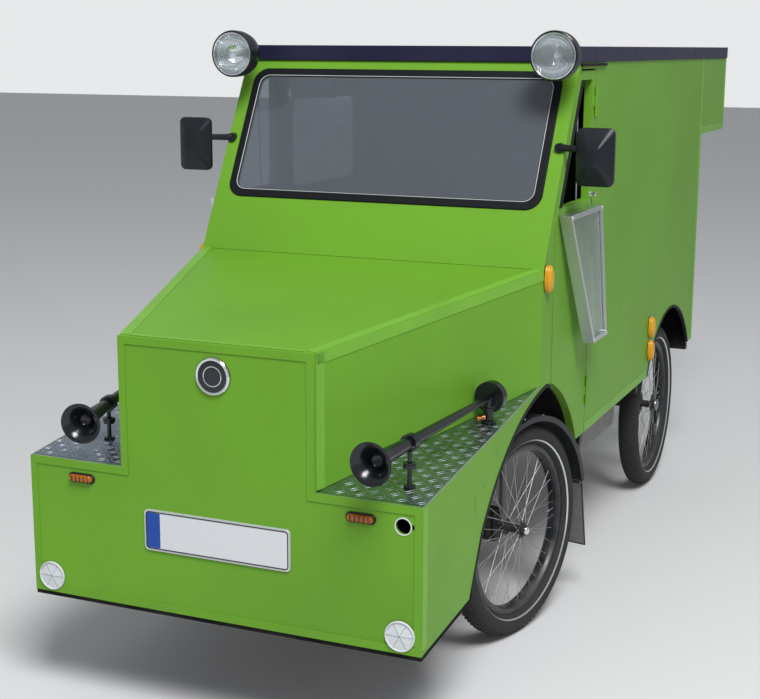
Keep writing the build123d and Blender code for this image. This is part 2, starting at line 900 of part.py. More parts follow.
def make_tie_rod():
    """The bar that joins the three steering arms, with an eye on each pin."""
    low = beam_height - kingpin_tube_half - ear_gap - knuckle_plate - tie_gap - tie_eye_height
    middle = low + tie_eye_height / 2
    places = [arm_tip(x) for x in (-kingpin_half_track, 0, kingpin_half_track)]
    bar = rod((*places[0], middle), (*places[2], middle), tie_rod_radius)
    for place in places:
        bar += rod((*place, low), (*place, low + tie_eye_height), tie_eye_radius)
    for place in places:
        bar -= rod((*place, 0), (*place, beam_height), tie_pin_radius + axle_fit)
    return bar


def make_steering_column():
    """The upright column with its arm below the beam and a boss for the handlebar on top."""
    arm_top = beam_height - kingpin_tube_half - ear_gap
    low = arm_top - knuckle_plate
    body = rod((0, 0, low), (0, 0, column_top), column_radius)
    body += block((-steer_arm_width / 2, steer_arm_width / 2), (0, steer_arm_length), (low, arm_top))
    body += rod((0, steer_arm_length, low), (0, steer_arm_length, arm_top), steer_arm_width / 2)
    pin_low = low - tie_eye_height - 2 * tie_gap
    body += rod((0, steer_arm_length, pin_low), (0, steer_arm_length, low), tie_pin_radius)
    collar = beam_height + kingpin_tube_half + ear_gap
    body += rod((0, 0, collar), (0, 0, collar + knuckle_plate), column_radius + kingpin_wall)
    body += rod((0, -bar_boss, column_top), (0, bar_boss, column_top), column_radius + kingpin_wall)
    return Pos(0, kingpin_station, 0) * Rot(0, 0, rest_steer_angle) * body


def make_handlebar():
    """The swept-back bar, clamped on the column's boss, with its grips."""
    height = column_top + column_radius + kingpin_wall + bar_radius
    path = FilletPolyline(
        (-bar_reach[0], bar_reach[1], height), (-bar_flat, 0, height), (bar_flat, 0, height),
        (bar_reach[0], bar_reach[1], height), radius=bar_bend)
    bar = sweep(Plane(origin=path @ 0, z_dir=path % 0) * Circle(bar_radius), path)
    for end in (0, 1):
        tip = path @ end
        inward = (path % end) * (1 if end == 0 else -1)
        bar += rod(tuple(tip), tuple(tip + inward * grip_length), grip_radius)
    return Pos(0, kingpin_station, 0) * Rot(0, 0, rest_steer_angle) * bar


# Wheels, turned about Z at the origin and then laid on their axle
def tyre_profile():
    """The balloon tyre's section, as (radius, offset from the middle)."""
    inner = rim_half_width - rim_wall
    widest = rim_edge_radius + (wheel_radius - rim_edge_radius) * tyre_widest_share
    half = [(bead_radius, inner), (rim_edge_radius, inner), (widest, tyre_half_width)]
    half.append((wheel_radius, tread_half_width))
    return half + [(r, -h) for r, h in reversed(half)]


def make_tyre():
    return revolve(Plane.XZ * outline(tyre_profile()), Axis.Z)


def hub_profile(flange):
    """The hub's section: barrel, two flanges, and a cap on its outer end."""
    end, cap = hub_half_length, hub_half_length + hub_cap_length
    bore = stub_radius + axle_fit
    inset, outset = hub_flange_inset, hub_flange_inset + hub_flange
    inward = [(bore, -end), (hub_radius, -end), (hub_radius, -outset), (flange, -outset), (flange, -inset)]
    barrel = [(hub_barrel_radius, -inset), (hub_barrel_radius, inset)]
    outward = [(flange, inset), (flange, outset), (hub_radius, outset), (hub_radius, end)]
    closed = [(hub_barrel_radius, cap), (0, cap), (0, end + hub_cap_hollow), (bore, end + hub_cap_hollow)]
    return inward + barrel + outward + closed


def rim_profile():
    """The rim's section: a bed towards the hub, two walls and the well that holds the tyre."""
    wall, inner = rim_half_width, rim_half_width - rim_wall
    bed = rim_inner_radius + rim_bed_rise
    half = [(rim_inner_radius, rim_bed_half), (bed, wall), (rim_edge_radius, wall), (rim_edge_radius, inner)]
    half.append((bead_radius, inner))
    return half + [(r, -h) for r, h in reversed(half)]


def make_rim_and_spokes(flange):
    """The rim, the hub and the crossed spokes between them, as one solid."""
    wheel = revolve(Plane.XZ * outline(rim_profile()), Axis.Z)
    wheel += revolve(Plane.XZ * outline(hub_profile(flange)), Axis.Z)
    spokes = []
    pitch = full_turn / spoke_pairs_per_side
    foot_radius, rim_radius = flange - spoke_size, rim_inner_radius + rim_wall
    for face in (-1, 1):
        for pair in range(spoke_pairs_per_side):
            for lean in (-1, 1):
                foot_angle = radians((pair + face * spoke_lag_share) * pitch)
                rim_angle = foot_angle + radians(lean * spoke_sweep_angle)
                foot_height = face * (hub_flange_inset + hub_flange / 2 + lean * spoke_side_step)
                rim_height = face * spoke_size + lean * spoke_side_step
                start = Vector(foot_radius * cos(foot_angle), foot_radius * sin(foot_angle), foot_height)
                end = Vector(rim_radius * cos(rim_angle), rim_radius * sin(rim_angle), rim_height)
                run = end - start
                bar = Box(spoke_size, spoke_size, run.length, align=(Align.CENTER, Align.CENTER, Align.MIN))
                spokes.append(Plane(origin=start, z_dir=run) * bar)
    return wheel.fuse(*spokes)


def wheel_at(shape, side, front):
    """Stand a wheel on its stub, its outer face outwards."""
    laid = Rot(0, quarter_turn, 0) * shape
    if front:
        laid = Pos(kingpin_offset, 0, 0) * laid
        return Pos(*kingpin_place(side)) * Rot(0, 0, rest_steer_angle) * on_side(laid, side)
    return on_side(Pos(wheel_track_half, rear_axle_station, hub_height) * laid, side)


# Driver's place
def make_crank_post():
    foot = rail_top + floor_sheet
    half, reach = rail_size / 2, shell_half_length
    post = block((-half, half), (crank_station - half, crank_station + half), (foot, crank_height))
    ends = (-reach, crank_station, crank_height), (reach, crank_station, crank_height)
    bore = (-overrun, crank_station, crank_height), (overrun, crank_station, crank_height)
    return post + rod(*ends, shell_radius) - rod(*bore, spindle_radius + axle_fit)


def make_crankset():
    """Spindle, chainring, two arms and their pedals."""
    ring_x = shell_half_length + ear_gap
    arm_x = ring_x + crank_arm_gap
    end = arm_x + crank_arm_thickness
    half_long, half_thick = pedal_size[1] / 2, pedal_size[2] / 2
    body = rod((-end, 0, 0), (end, 0, 0), spindle_radius)
    body += rod((ring_x, 0, 0), (ring_x + ring_thickness, 0, 0), ring_radius)
    for side in sides.values():
        x = sorted((side * arm_x, side * end))
        reach = (0, crank_length) if side > 0 else (-crank_length, 0)
        body += block(x, reach, (-crank_arm_half, crank_arm_half))
        body += rod((x[0], 0, 0), (x[1], 0, 0), crank_boss_radius)
        y = side * crank_length
        body += rod((x[0], y, 0), (x[1], y, 0), pedal_boss_radius)
        pedal_x = sorted((side * (end + ear_gap), side * (end + ear_gap + pedal_size[0])))
        body += block(pedal_x, (y - half_long, y + half_long), (-half_thick, half_thick))
        body += rod((side * end, y, 0), (side * (end + ear_gap), y, 0), pedal_pin_radius)
    return Pos(0, crank_station, crank_height) * Rot(crank_angle, 0, 0) * body


def make_seat_base():
    x = seat_half_width - seat_wall
    rear = seat_front + seat_depth
    outer = block((-seat_half_width, seat_half_width), (seat_front, rear), (floor_top, seat_top))
    inner = block((-x, x), (seat_front - overrun, rear - seat_wall),
                  (floor_top - overrun, seat_top - seat_wall))
    return outer - inner


def make_seat_cushions():
    wide, thick = seat_half_width, cushion_thickness
    rear = seat_front + seat_depth - thick
    pad = block((-wide, wide), (seat_front, rear), (seat_top, seat_top + thick))
    rest = Box(2 * wide, thick, back_height, align=(Align.CENTER, Align.MIN, Align.MIN))
    leaning = Pos(0, rear + soft_gap, seat_top + soft_gap) * Rot(-back_angle, 0, 0) * rest
    below = block((-half_width, half_width), (seat_front, bunk_front), (0, seat_top))
    return Compound([pad, leaning - below])


def make_bunk():
    """A board on two bearers, over the rear wheel boxes."""
    rear = rear_wall_face - skin
    board = block((-skin_inner, skin_inner), (bunk_front, rear), (bunk_top - bunk_sheet, bunk_top))
    for side in sides.values():
        for y in ((bunk_front, bunk_front + bunk_sheet), (rear - bunk_sheet, rear)):
            x = sorted((side * bunk_bearer[0], side * bunk_bearer[1]))
            board += block(x, y, (floor_top, bunk_top - bunk_sheet))
    return board


def make_mattress():
    rear = rear_wall_face - skin
    x = skin_inner - soft_gap
    return block((-x, x), (bunk_front, rear - soft_gap), (bunk_top, bunk_top + mattress_thickness))


# Fittings
def make_lamp(part):
    """One roof lamp, looking forward: its bowl, its ring or its lens."""
    x, y, z = lamp_place
    r, lens, depth = lamp_radius, lens_radius, lamp_depth
    lip = lamp_ring_depth
    if part == "ring":
        profile = [(lens, 0), (r, 0), (r, lip), (lens, lip)]
        return lathe(profile, (x, y, z), (0, 1, 0))
    if part == "lens":
        dome = [(lens * wide, lip * deep) for wide, deep in lens_dome_shares]
        profile = [(0, 0), *dome, (lens, lip), (0, lip)]
        return lathe(profile, (x, y, z), (0, 1, 0))
    neck = roof_front - y
    bowl = [(0, lip), (r, lip)] + [(r * wide, depth * deep) for wide, deep in lamp_bowl_shares]
    bowl += [(lamp_neck_radius, depth), (lamp_neck_radius, neck), (0, neck)]
    return lathe(bowl, (x, y, z), (0, 1, 0))


def make_mirrors():
    """A head on each windscreen post, and the small mirror inside the glass."""
    x, y, z = mirror_place
    wide, high = mirror_size
    back = facing(x, y + mirror_depth, z) * RectangleRounded(wide, high, mirror_corner)
    small = mirror_crown_share
    front = facing(x, y, z) * RectangleRounded(wide * small, high * small, mirror_corner * small)
    rim = extrude(back, amount=mirror_rim)
    shoulder = facing(x, y + mirror_depth - mirror_rim, z) * RectangleRounded(wide, high, mirror_corner)
    head = rim + loft([shoulder.face(), front.face()])
    arm_z = z + mirror_arm_rise
    foot_x, foot_y = half_width - post_depth / 2, screen_station(arm_z)
    arm_end = (x, y + mirror_depth - mirror_rim, arm_z)
    head += rod((foot_x, foot_y - mirror_arm_radius, arm_z), arm_end, mirror_arm_radius)
    pad_radius = mirror_arm_radius * mirror_pad_share
    pad = rod((foot_x, foot_y - pad_radius, arm_z), (foot_x, foot_y + pad_radius, arm_z), pad_radius)
    behind = outline([
        (screen_station(0) - touch_gap, 0), (screen_station(body_top) - touch_gap, body_top),
        (rear_wall_face, body_top), (rear_wall_face, 0),
    ])
    head = head + pad - across(behind, 0, half_width)
    inside_y = screen_station(inner_mirror[2]) + screen_step + inner_mirror_reach
    inside = Pos(inner_mirror[0], inside_y, inner_mirror[2]) * Box(*inner_mirror_size)
    stem = rod((inner_mirror[0], inside_y, inner_mirror[2]), (inner_mirror[0], inside_y, body_top),
               inner_stem_radius)
    return Compound([head, mirrored(head), inside + stem])


def make_horn(mouth, drum):
    """A trumpet from its mouth back to its drum, with a stand under its collar and its drum."""
    start = Vector(*mouth)
    run = Vector(*drum) - start
    length = run.length
    collar = length * horn_collar_share
    low, high = collar - horn_collar_half, collar + horn_collar_half
    outer = [(horn_mouth_radius, 0), (horn_mouth_radius, horn_wall), *horn_bell]
    outer += [(horn_front_radius, low), (horn_collar_radius, low), (horn_collar_radius, high)]
    outer += [(horn_front_radius, high), (horn_back_radius, length), (0, length)]
    shape = lathe(outer + [*horn_throat, (horn_mouth_radius - horn_wall, 0)], start, run)
    disc = [(0, length), (horn_drum_radius, length)]
    disc += [(horn_drum_radius, length + horn_drum_length), (0, length + horn_drum_length)]
    shape += lathe(disc, start, run)
    for share, rod_radius, nut_radius, foot_radius in horn_stands:
        place = start + run * share
        x, y, top = place.X, place.Y, place.Z
        foot = deck_height(y) + touch_gap
        nut = (foot + top) / 2
        shape += rod((x, y, foot), (x, y, top), rod_radius)
        shape += rod((x, y, foot), (x, y, foot + horn_foot_height), foot_radius)
        shape += rod((x, y, nut - horn_nut_half), (x, y, nut + horn_nut_half), nut_radius)
    under = outline([(0, 0), (crease_station, 0), (crease_station, deck_height(crease_station) + touch_gap),
                     (0, deck_height(0) + touch_gap)])
    return shape - across(under, -half_width, half_width)


def make_horns():
    left = [(half_width - inset, station, height) for inset, station, height in horn_left]
    right = [(inset - half_width, station, height) for inset, station, height in horn_right]
    return Compound([make_horn(*left), make_horn(*right)])


def oval(place):
    """A raised amber oval on a side face, centred at (station, height)."""
    step = half_width + oval_proud * oval_base_share
    face = Pos(*place) * Rot(0, 0, quarter_turn) * SlotOverall(oval_length, oval_width)
    long_share, wide_share = oval_top_shares
    smaller = SlotOverall(oval_length * long_share, oval_width * wide_share)
    top = Pos(*place) * Rot(0, 0, quarter_turn) * smaller
    return across(face, half_width, step) + across(top, step, half_width + oval_proud)


def make_amber_lamps():
    lamps = []
    for place in oval_places:
        lamps += [oval(place), mirrored(oval(place))]
    face = Pos(*marker_place) * SlotOverall(*marker_size)
    marker = along(face, -marker_proud, 0)
    return Compound(lamps + [marker, mirrored(marker)])


def make_reflectors():
    x, z = reflector_place
    disc = rod((x, -reflector_proud, z), (x, -edge_angle_thickness, z), reflector_radius)
    disc += rod((x, -edge_angle_thickness, z), (x, 0, z), reflector_radius)
    return both(disc - along(edge_ring(), -edge_angle_thickness, 0))


def edge_ring():
    """The raised angle around the front panel's edge."""
    wide, high = 2 * half_width, nose_shoulder - nose_bottom
    both_edges = 2 * edge_angle_width
    ring = Rectangle(wide, high) - Rectangle(wide - both_edges, high - both_edges)
    return Pos(0, (nose_bottom + nose_shoulder) / 2) * ring


def make_number_plate():
    face = Pos(0, plate_height) * RectangleRounded(*plate_size, plate_corner)
    return along(face, -plate_thickness, 0)


def make_badge():
    profile = [(0, 0), (badge_radius, 0), (badge_radius, badge_thickness * badge_edge_share)]
    profile += [(badge_radius * badge_flat_share, badge_thickness), (0, badge_thickness * badge_middle_share)]
    return lathe(profile, (0, 0, badge_height), (0, -1, 0))


def make_rear_lamps():
    x, z = rear_lamp_place
    face = Pos(x, z) * RectangleRounded(*rear_lamp_size, rear_lamp_corner)
    return both(along(face, rear_wall_face, rear_wall_face + rear_lamp_proud))


# The pieces, by name
pieces["front_panel"] = make_front_panel()
pieces["bonnet"] = make_bonnet()
pieces["tread_decks"] = make_decks()
pieces["box_sides"] = make_box_sides()
pieces["nose_floor"] = make_nose_floor()
pieces["cab_posts"] = make_cab_posts()
pieces["windscreen_panel"] = make_windscreen_panel()
pieces["windscreen_seal"] = make_windscreen_seal()
pieces["windscreen_glass"] = make_windscreen_glass()
pieces["side_panel_left"] = make_side_panel(1)
pieces["side_panel_right"] = make_side_panel(-1)
pieces["side_window"] = make_side_window()
pieces["roof"] = make_roof()
pieces["rear_wall"] = make_rear_wall()
pieces["rear_alcove"] = make_alcove()
pieces["wheel_housings"] = make_wheel_housings()
pieces["edge_trims"] = make_edge_trims()
pieces["chassis_frame"] = make_chassis_frame()
pieces["floor"] = make_floor()
pieces["underfloor_box"] = make_store_box()
pieces["front_axle"] = make_front_axle()
pieces["rear_axle"] = make_rear_axle()
pieces["tie_rod"] = make_tie_rod()
pieces["steering_column"] = make_steering_column()
pieces["handlebar"] = make_handlebar()
pieces["crank_post"] = make_crank_post()
pieces["crankset"] = make_crankset()
pieces["seat_base"] = make_seat_base()
pieces["seat_cushions"] = make_seat_cushions()
pieces["bunk"] = make_bunk()
pieces["mattress"] = make_mattress()
pieces["roof_lamp_bowls"] = both(make_lamp("bowl"))
pieces["roof_lamp_rings"] = both(make_lamp("ring"))
pieces["roof_lamp_lenses"] = both(make_lamp("lens"))
pieces["mirrors"] = make_mirrors()
pieces["horns"] = make_horns()
pieces["amber_lamps"] = make_amber_lamps()
pieces["front_reflectors"] = make_reflectors()
pieces["number_plate"] = make_number_plate()
pieces["bonnet_badge"] = make_badge()
pieces["rear_lamps"] = make_rear_lamps()
tyre = make_tyre()
flanges = {"front": front_flange_radius, "rear": rear_flange_radius}
wheel_kinds = {end: make_rim_and_spokes(radius) for end, radius in flanges.items()}
for name, side in sides.items():
    pieces[f"door_{name}"] = on_side(make_door(), side)
    pieces[f"window_flap_{name}"] = on_side(make_flap_frame(), side)
    pieces[f"flap_pane_{name}"] = on_side(make_flap_pane(), side)
    pieces[f"knuckle_{name}"] = make_knuckle(side)
    pieces[f"mudguard_{name}"] = make_mudguard(side)
    for end in ("front", "rear"):
        pieces[f"wheel_{end}_{name}"] = wheel_at(wheel_kinds[end], side, end == "front")
        pieces[f"tyre_{end}_{name}"] = wheel_at(tyre, side, end == "front")

boxes = [shape.bounding_box() for shape in pieces.values()]
front_reach = min(box.min.Y for box in boxes)
rear_reach = max(box.max.Y for box in boxes)
middle_station = (front_reach + rear_reach) / 2
print("middle station", round(middle_station, 4))
for name, shape in pieces.items():
    export_step(Pos(0, -middle_station, ground_drop) * shape, f"parts/{name}.step")
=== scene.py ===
# %% [markdown]
# # A pedalled camper on four bicycle wheels
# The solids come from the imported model, which stays fixed. This lesson dresses them: painted
# panels, rubber, tread plate, wheels, lamps and the soft things inside. Everything is in metres,
# with X to the vehicle's left, Y to the rear and Z up.

# %% Load the fixed frame
import json
from math import atan, atan2, cos, pi, radians, sin, sqrt

import bmesh
import bpy
from mathutils import Matrix, Vector

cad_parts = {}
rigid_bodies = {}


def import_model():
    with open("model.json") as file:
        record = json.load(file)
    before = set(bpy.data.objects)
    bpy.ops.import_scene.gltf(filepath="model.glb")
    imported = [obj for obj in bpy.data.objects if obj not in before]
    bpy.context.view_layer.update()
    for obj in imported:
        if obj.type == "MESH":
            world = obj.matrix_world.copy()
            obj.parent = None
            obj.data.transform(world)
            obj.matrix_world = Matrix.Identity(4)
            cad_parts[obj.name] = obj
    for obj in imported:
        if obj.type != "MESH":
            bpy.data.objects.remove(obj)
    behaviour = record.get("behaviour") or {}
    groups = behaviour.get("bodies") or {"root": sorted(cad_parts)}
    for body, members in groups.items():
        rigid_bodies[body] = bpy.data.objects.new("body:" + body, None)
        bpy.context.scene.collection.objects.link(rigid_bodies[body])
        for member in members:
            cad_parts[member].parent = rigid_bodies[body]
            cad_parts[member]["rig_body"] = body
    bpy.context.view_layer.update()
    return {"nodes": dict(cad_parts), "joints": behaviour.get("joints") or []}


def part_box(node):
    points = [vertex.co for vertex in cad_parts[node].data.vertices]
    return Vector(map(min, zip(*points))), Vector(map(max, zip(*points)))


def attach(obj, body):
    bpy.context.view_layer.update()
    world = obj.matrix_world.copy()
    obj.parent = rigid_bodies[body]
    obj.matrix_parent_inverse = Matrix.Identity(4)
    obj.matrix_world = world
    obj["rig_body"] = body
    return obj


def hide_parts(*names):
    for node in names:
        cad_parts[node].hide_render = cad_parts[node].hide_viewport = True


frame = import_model()
MM = 0.001
GROUND_DROP = 23
front_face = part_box("nose_floor")[0].y
print("nodes", len(frame["nodes"]), "front face at", round(front_face, 4))


def at(x, station, height):
    """A place in metres from X, the distance behind the front face and the drawing's height, in mm."""
    return Vector((x * MM, front_face + station * MM, (height + GROUND_DROP) * MM))


# %% [markdown]
# ## The body's main lines
# What is laid on the body has to line up with its solids. So the lines that several pieces share
# are named here once, in mm: half widths, stations behind the front face and heights.

# %% Body lines
HALF_WIDTH, NOSE_HALF = 560, 276
NOSE_BOTTOM, NOSE_STATION, NOSE_HEIGHT = 300, 10, 1007
CREASE_STATION, CREASE_HEIGHT = 915, 1100
HEADER_STATION, HEADER_HEIGHT = 1229, 1680
DOOR_REAR, ARCH_FRONT, ARCH_REAR = 1413, 2284, 3042
BOX_BOTTOM, BOX_REAR = 500, 3110
ALCOVE_BOTTOM, ALCOVE_REAR = 1371, 3600
DECK_HEIGHT, DECK_RISE, ROOF_TOP = 660, 0.108, 1726.2
BONNET_RUN, BONNET_SPREAD, BONNET_RISE = CREASE_STATION - NOSE_STATION, HALF_WIDTH - NOSE_HALF, 94
print("body", 2 * HALF_WIDTH, "mm wide, bonnet", BONNET_RUN, "mm long")

# %% [markdown]
# ## The camera
# The photo was taken from standing eye height, to the front and left of the vehicle. The position,
# the two angles and the focal length were fitted to corners of the body, so that each edge lands
# where the photo has it. The optical axis stays in the middle of the picture.

# %% Camera
PICTURE_WIDTH, SENSOR_WIDTH = 760, 36
camera_place = at(1758.1, -3029.7, 1723.6)
camera_yaw, camera_pitch, camera_roll = radians(23.39), radians(-11.825), radians(0.267)
focal_pixels = 1447.1

scene = bpy.context.scene
camera_data = bpy.data.cameras.new("photo_camera")
camera = bpy.data.objects.new("photo_camera", camera_data)
scene.collection.objects.link(camera)
ahead, upward = cos(camera_pitch), sin(camera_pitch)
forward = Vector((-sin(camera_yaw) * ahead, cos(camera_yaw) * ahead, upward))
level = Vector((cos(camera_yaw), sin(camera_yaw), 0))
above = level.cross(forward)
right = level * cos(camera_roll) + above * sin(camera_roll)
upright = -level * sin(camera_roll) + above * cos(camera_roll)
camera.matrix_world = Matrix((
    (right.x, upright.x, -forward.x, camera_place.x),
    (right.y, upright.y, -forward.y, camera_place.y),
    (right.z, upright.z, -forward.z, camera_place.z),
    (0, 0, 0, 1)))
camera_data.sensor_width = SENSOR_WIDTH
camera_data.lens = focal_pixels / PICTURE_WIDTH * camera_data.sensor_width
camera_data.clip_start, camera_data.clip_end = 0.05, 200
scene.camera = camera
print("lens", round(camera_data.lens, 2), "mm")

# %% [markdown]
# ## Floor, sky and lamps
# A plain pale floor and a soft, even sky show colours about as they are written. One broad lamp
# from the front gives the upper faces their brighter tone. The sky is painted paler for the
# camera than for the light that it gives, so that the background stays quiet.

# %% Studio
scene.view_settings.view_transform = "Standard"
SKY_STRENGTH = 0.44
SKY_COLOUR = (0.93, 0.96, 1.0)
BACKDROP_COLOUR = (0.80, 0.81, 0.82)
world = bpy.data.worlds.new("soft_sky")
scene.world = world
world.use_nodes = True
sky = world.node_tree
sky.nodes.clear()
output = sky.nodes.new("ShaderNodeOutputWorld")
lit, seen = sky.nodes.new("ShaderNodeBackground"), sky.nodes.new("ShaderNodeBackground")
lit.inputs["Color"].default_value = (*SKY_COLOUR, 1)
lit.inputs["Strength"].default_value = SKY_STRENGTH
seen.inputs["Color"].default_value = (*BACKDROP_COLOUR, 1)
rays, either, chooser = (sky.nodes.new(kind) for kind in
                         ("ShaderNodeLightPath", "ShaderNodeMath", "ShaderNodeMixShader"))
either.operation = "MAXIMUM"
sky.links.new(rays.outputs["Is Camera Ray"], either.inputs[0])
sky.links.new(rays.outputs["Is Transmission Ray"], either.inputs[1])
sky.links.new(either.outputs[0], chooser.inputs[0])
sky.links.new(lit.outputs[0], chooser.inputs[1])
sky.links.new(seen.outputs[0], chooser.inputs[2])
sky.links.new(chooser.outputs[0], output.inputs["Surface"])


def area_lamp(name, place, target, size, watts):
    """A soft square lamp that looks at a point."""
    data = bpy.data.lights.new(name, "AREA")
    data.size, data.energy = size, watts
    lamp = bpy.data.objects.new(name, data)
    scene.collection.objects.link(lamp)
    aim = (target - place).to_track_quat("-Z", "Y").to_matrix().to_4x4()
    lamp.matrix_world = Matrix.Translation(place) @ aim


LAMP_PLACE, LAMP_TARGET = Vector((3.6, -5.6, 8.4)), Vector((0, -0.6, 0.8))
LAMP_SIZE, LAMP_WATTS = 3.5, 1000
area_lamp("front_soft", LAMP_PLACE, LAMP_TARGET, LAMP_SIZE, LAMP_WATTS)
print("lamp", round((LAMP_PLACE - LAMP_TARGET).length, 2), "m from the nose")

FLOOR_HALF = 40
floor_mesh = bpy.data.meshes.new("studio_floor")
floor_mesh.from_pydata([(-FLOOR_HALF, -FLOOR_HALF, 0), (FLOOR_HALF, -FLOOR_HALF, 0),
                        (FLOOR_HALF, FLOOR_HALF, 0), (-FLOOR_HALF, FLOOR_HALF, 0)], [], [(0, 1, 2, 3)])
floor = bpy.data.objects.new("studio_floor", floor_mesh)
scene.collection.objects.link(floor)

# %% [markdown]
# ## Shared effects as node groups
# Real finishes are never one flat colour. Four effects are built once as groups and placed in
# many materials: slow clouds of tone, dirt that gathers low down, woven threads and fine grain.
# Each reads Object coordinates, which are metres in the vehicle's own frame, so that a pattern
# keeps its size on every piece.

# %% Helpers for node trees


def add(tree, kind, sources=None, **settings):
    """A node with its settings, whose inputs are values or other nodes' outputs."""
    made = tree.nodes.new(kind)
    for name, value in settings.items():
        setattr(made, name, value)
    for key, source in (sources or {}).items():
        if isinstance(source, bpy.types.NodeSocket):
            tree.links.new(source, made.inputs[key])
        else:
            made.inputs[key].default_value = source
    return made


def maths(tree, operation, first, second=0.0, third=0.0):
    return add(tree, "ShaderNodeMath", {0: first, 1: second, 2: third}, operation=operation).outputs[0]


def blended(tree, share, first, second):
    """A colour between two, by a share from 0 to 1."""
    made = add(tree, "ShaderNodeMix", data_type="RGBA")
    for socket, source in ((made.inputs[0], share), (made.inputs[6], first), (made.inputs[7], second)):
        if isinstance(source, bpy.types.NodeSocket):
            tree.links.new(source, socket)
        else:
            socket.default_value = source
    return made.outputs[2]


def ramped(tree, value, low, high):
    """0 below low, 1 above high and smooth between them."""
    made = add(tree, "ShaderNodeMapRange", {"Value": value, "From Min": low, "From Max": high},
               interpolation_type="SMOOTHSTEP")
    return made.outputs[0]


def effect_group(name, inputs, outputs):
    """An empty shader group with named sockets."""
    tree = bpy.data.node_groups.new(name, "ShaderNodeTree")
    for label, kind, value in inputs:
        socket = tree.interface.new_socket(label, in_out="INPUT", socket_type=kind)
        socket.default_value = value
    for label, kind in outputs:
        tree.interface.new_socket(label, in_out="OUTPUT", socket_type=kind)
    return tree, tree.nodes.new("NodeGroupInput").outputs, tree.nodes.new("NodeGroupOutput").inputs


COLOUR, NUMBER, VECTOR = "NodeSocketColor", "NodeSocketFloat", "NodeSocketVector"
WHITE = (1, 1, 1, 1)

# %% [markdown]
# ### Clouded paint
# Sprayed or rolled paint shows slow patches of slightly other tone and a fine orange peel. One
# noise mixes the colour with its weathered tone and spreads the roughness, and a second, fine
# noise gives the height for a Bump node.

# %% Clouded paint
clouds, given, result = effect_group(
    "clouded_paint",
    [("Color", COLOUR, WHITE), ("Weathered", COLOUR, WHITE), ("Cloud Scale", NUMBER, 2.0),
     ("Cloud Share", NUMBER, 0.4), ("Roughness", NUMBER, 0.4), ("Spread", NUMBER, 0.1),
     ("Peel Scale", NUMBER, 300.0)],
    [("Color", COLOUR), ("Roughness", NUMBER), ("Height", NUMBER)])
where = add(clouds, "ShaderNodeTexCoord").outputs["Object"]
slow = add(clouds, "ShaderNodeTexNoise", {"Vector": where, "Scale": given["Cloud Scale"], "Detail": 4.0})
soft = ramped(clouds, slow.outputs[0], 0.35, 0.7)
share = maths(clouds, "MULTIPLY", soft, given["Cloud Share"])
clouds.links.new(blended(clouds, share, given["Color"], given["Weathered"]), result["Color"])
middle = add(clouds, "ShaderNodeTexNoise", {"Vector": where, "Scale": 18.0, "Detail": 5.0}).outputs[0]
swing = maths(clouds, "MULTIPLY", maths(clouds, "SUBTRACT", middle, 0.5), given["Spread"])
clouds.links.new(maths(clouds, "ADD", swing, given["Roughness"]), result["Roughness"])
peel = add(clouds, "ShaderNodeTexNoise", {"Vector": where, "Scale": given["Peel Scale"], "Detail": 1.0})
clouds.links.new(peel.outputs[0], result["Height"])
print("clouded paint", len(clouds.nodes), "nodes")

# %% [markdown]
# ### Road dirt
# Splashed dirt is thickest near the ground and thins out upwards in patches. The height in the
# vehicle's frame, broken up by noise, makes the mask.

# %% Road dirt
dirt, given, result = effect_group(
    "road_dirt",
    [("Color", COLOUR, WHITE), ("Dirt", COLOUR, (0.085, 0.076, 0.066, 1)), ("Clean Above", NUMBER, 0.6),
     ("Amount", NUMBER, 0.6), ("Scale", NUMBER, 14.0), ("Roughness", NUMBER, 0.5)],
    [("Color", COLOUR), ("Roughness", NUMBER), ("Mask", NUMBER)])
where = add(dirt, "ShaderNodeTexCoord").outputs["Object"]
height = add(dirt, "ShaderNodeSeparateXYZ", {0: where}).outputs[2]
low_down = maths(dirt, "SUBTRACT", 1.0, maths(dirt, "DIVIDE", height, given["Clean Above"]))
spots = add(dirt, "ShaderNodeTexNoise", {"Vector": where, "Scale": given["Scale"], "Detail": 8.0,
                                         "Roughness": 0.65}).outputs[0]
patchy = ramped(dirt, maths(dirt, "ADD", maths(dirt, "MULTIPLY", low_down, 0.35), spots), 0.55, 0.85)
mask = maths(dirt, "MULTIPLY", patchy, given["Amount"])
dirt.links.new(blended(dirt, mask, given["Color"], given["Dirt"]), result["Color"])
dull = maths(dirt, "SUBTRACT", 0.9, given["Roughness"])
duller = maths(dirt, "MULTIPLY", mask, dull)
dirt.links.new(maths(dirt, "ADD", given["Roughness"], duller), result["Roughness"])
dirt.links.new(mask, result["Mask"])
print("road dirt", len(dirt.nodes), "nodes")

# %% [markdown]
# ### Woven threads
# Cloth is two sets of threads that pass over and under each other. The product of two sine waves
# gives the small pillows of a plain weave, and a slow noise makes the colour less even.

# %% Woven threads
weave, given, result = effect_group(
    "woven_threads",
    [("Color", COLOUR, WHITE), ("Thread", COLOUR, WHITE), ("Threads", NUMBER, 700.0),
     ("Roughness", NUMBER, 0.9)],
    [("Color", COLOUR), ("Roughness", NUMBER), ("Height", NUMBER)])
where = add(weave, "ShaderNodeTexCoord").outputs["Object"]
axes = add(weave, "ShaderNodeSeparateXYZ", {0: where}).outputs
slants = [maths(weave, "ADD", axes[k], axes[2]) for k in (0, 1)]
waves = [maths(weave, "SINE", maths(weave, "MULTIPLY", slant, given["Threads"])) for slant in slants]
pillows = maths(weave, "MULTIPLY", waves[0], waves[1])
lifted = maths(weave, "MULTIPLY_ADD", pillows, 0.5, 0.5)
uneven = add(weave, "ShaderNodeTexNoise", {"Vector": where, "Scale": 60.0, "Detail": 3.0}).outputs[0]
weave.links.new(blended(weave, maths(weave, "MULTIPLY", lifted, uneven), given["Color"], given["Thread"]),
                result["Color"])
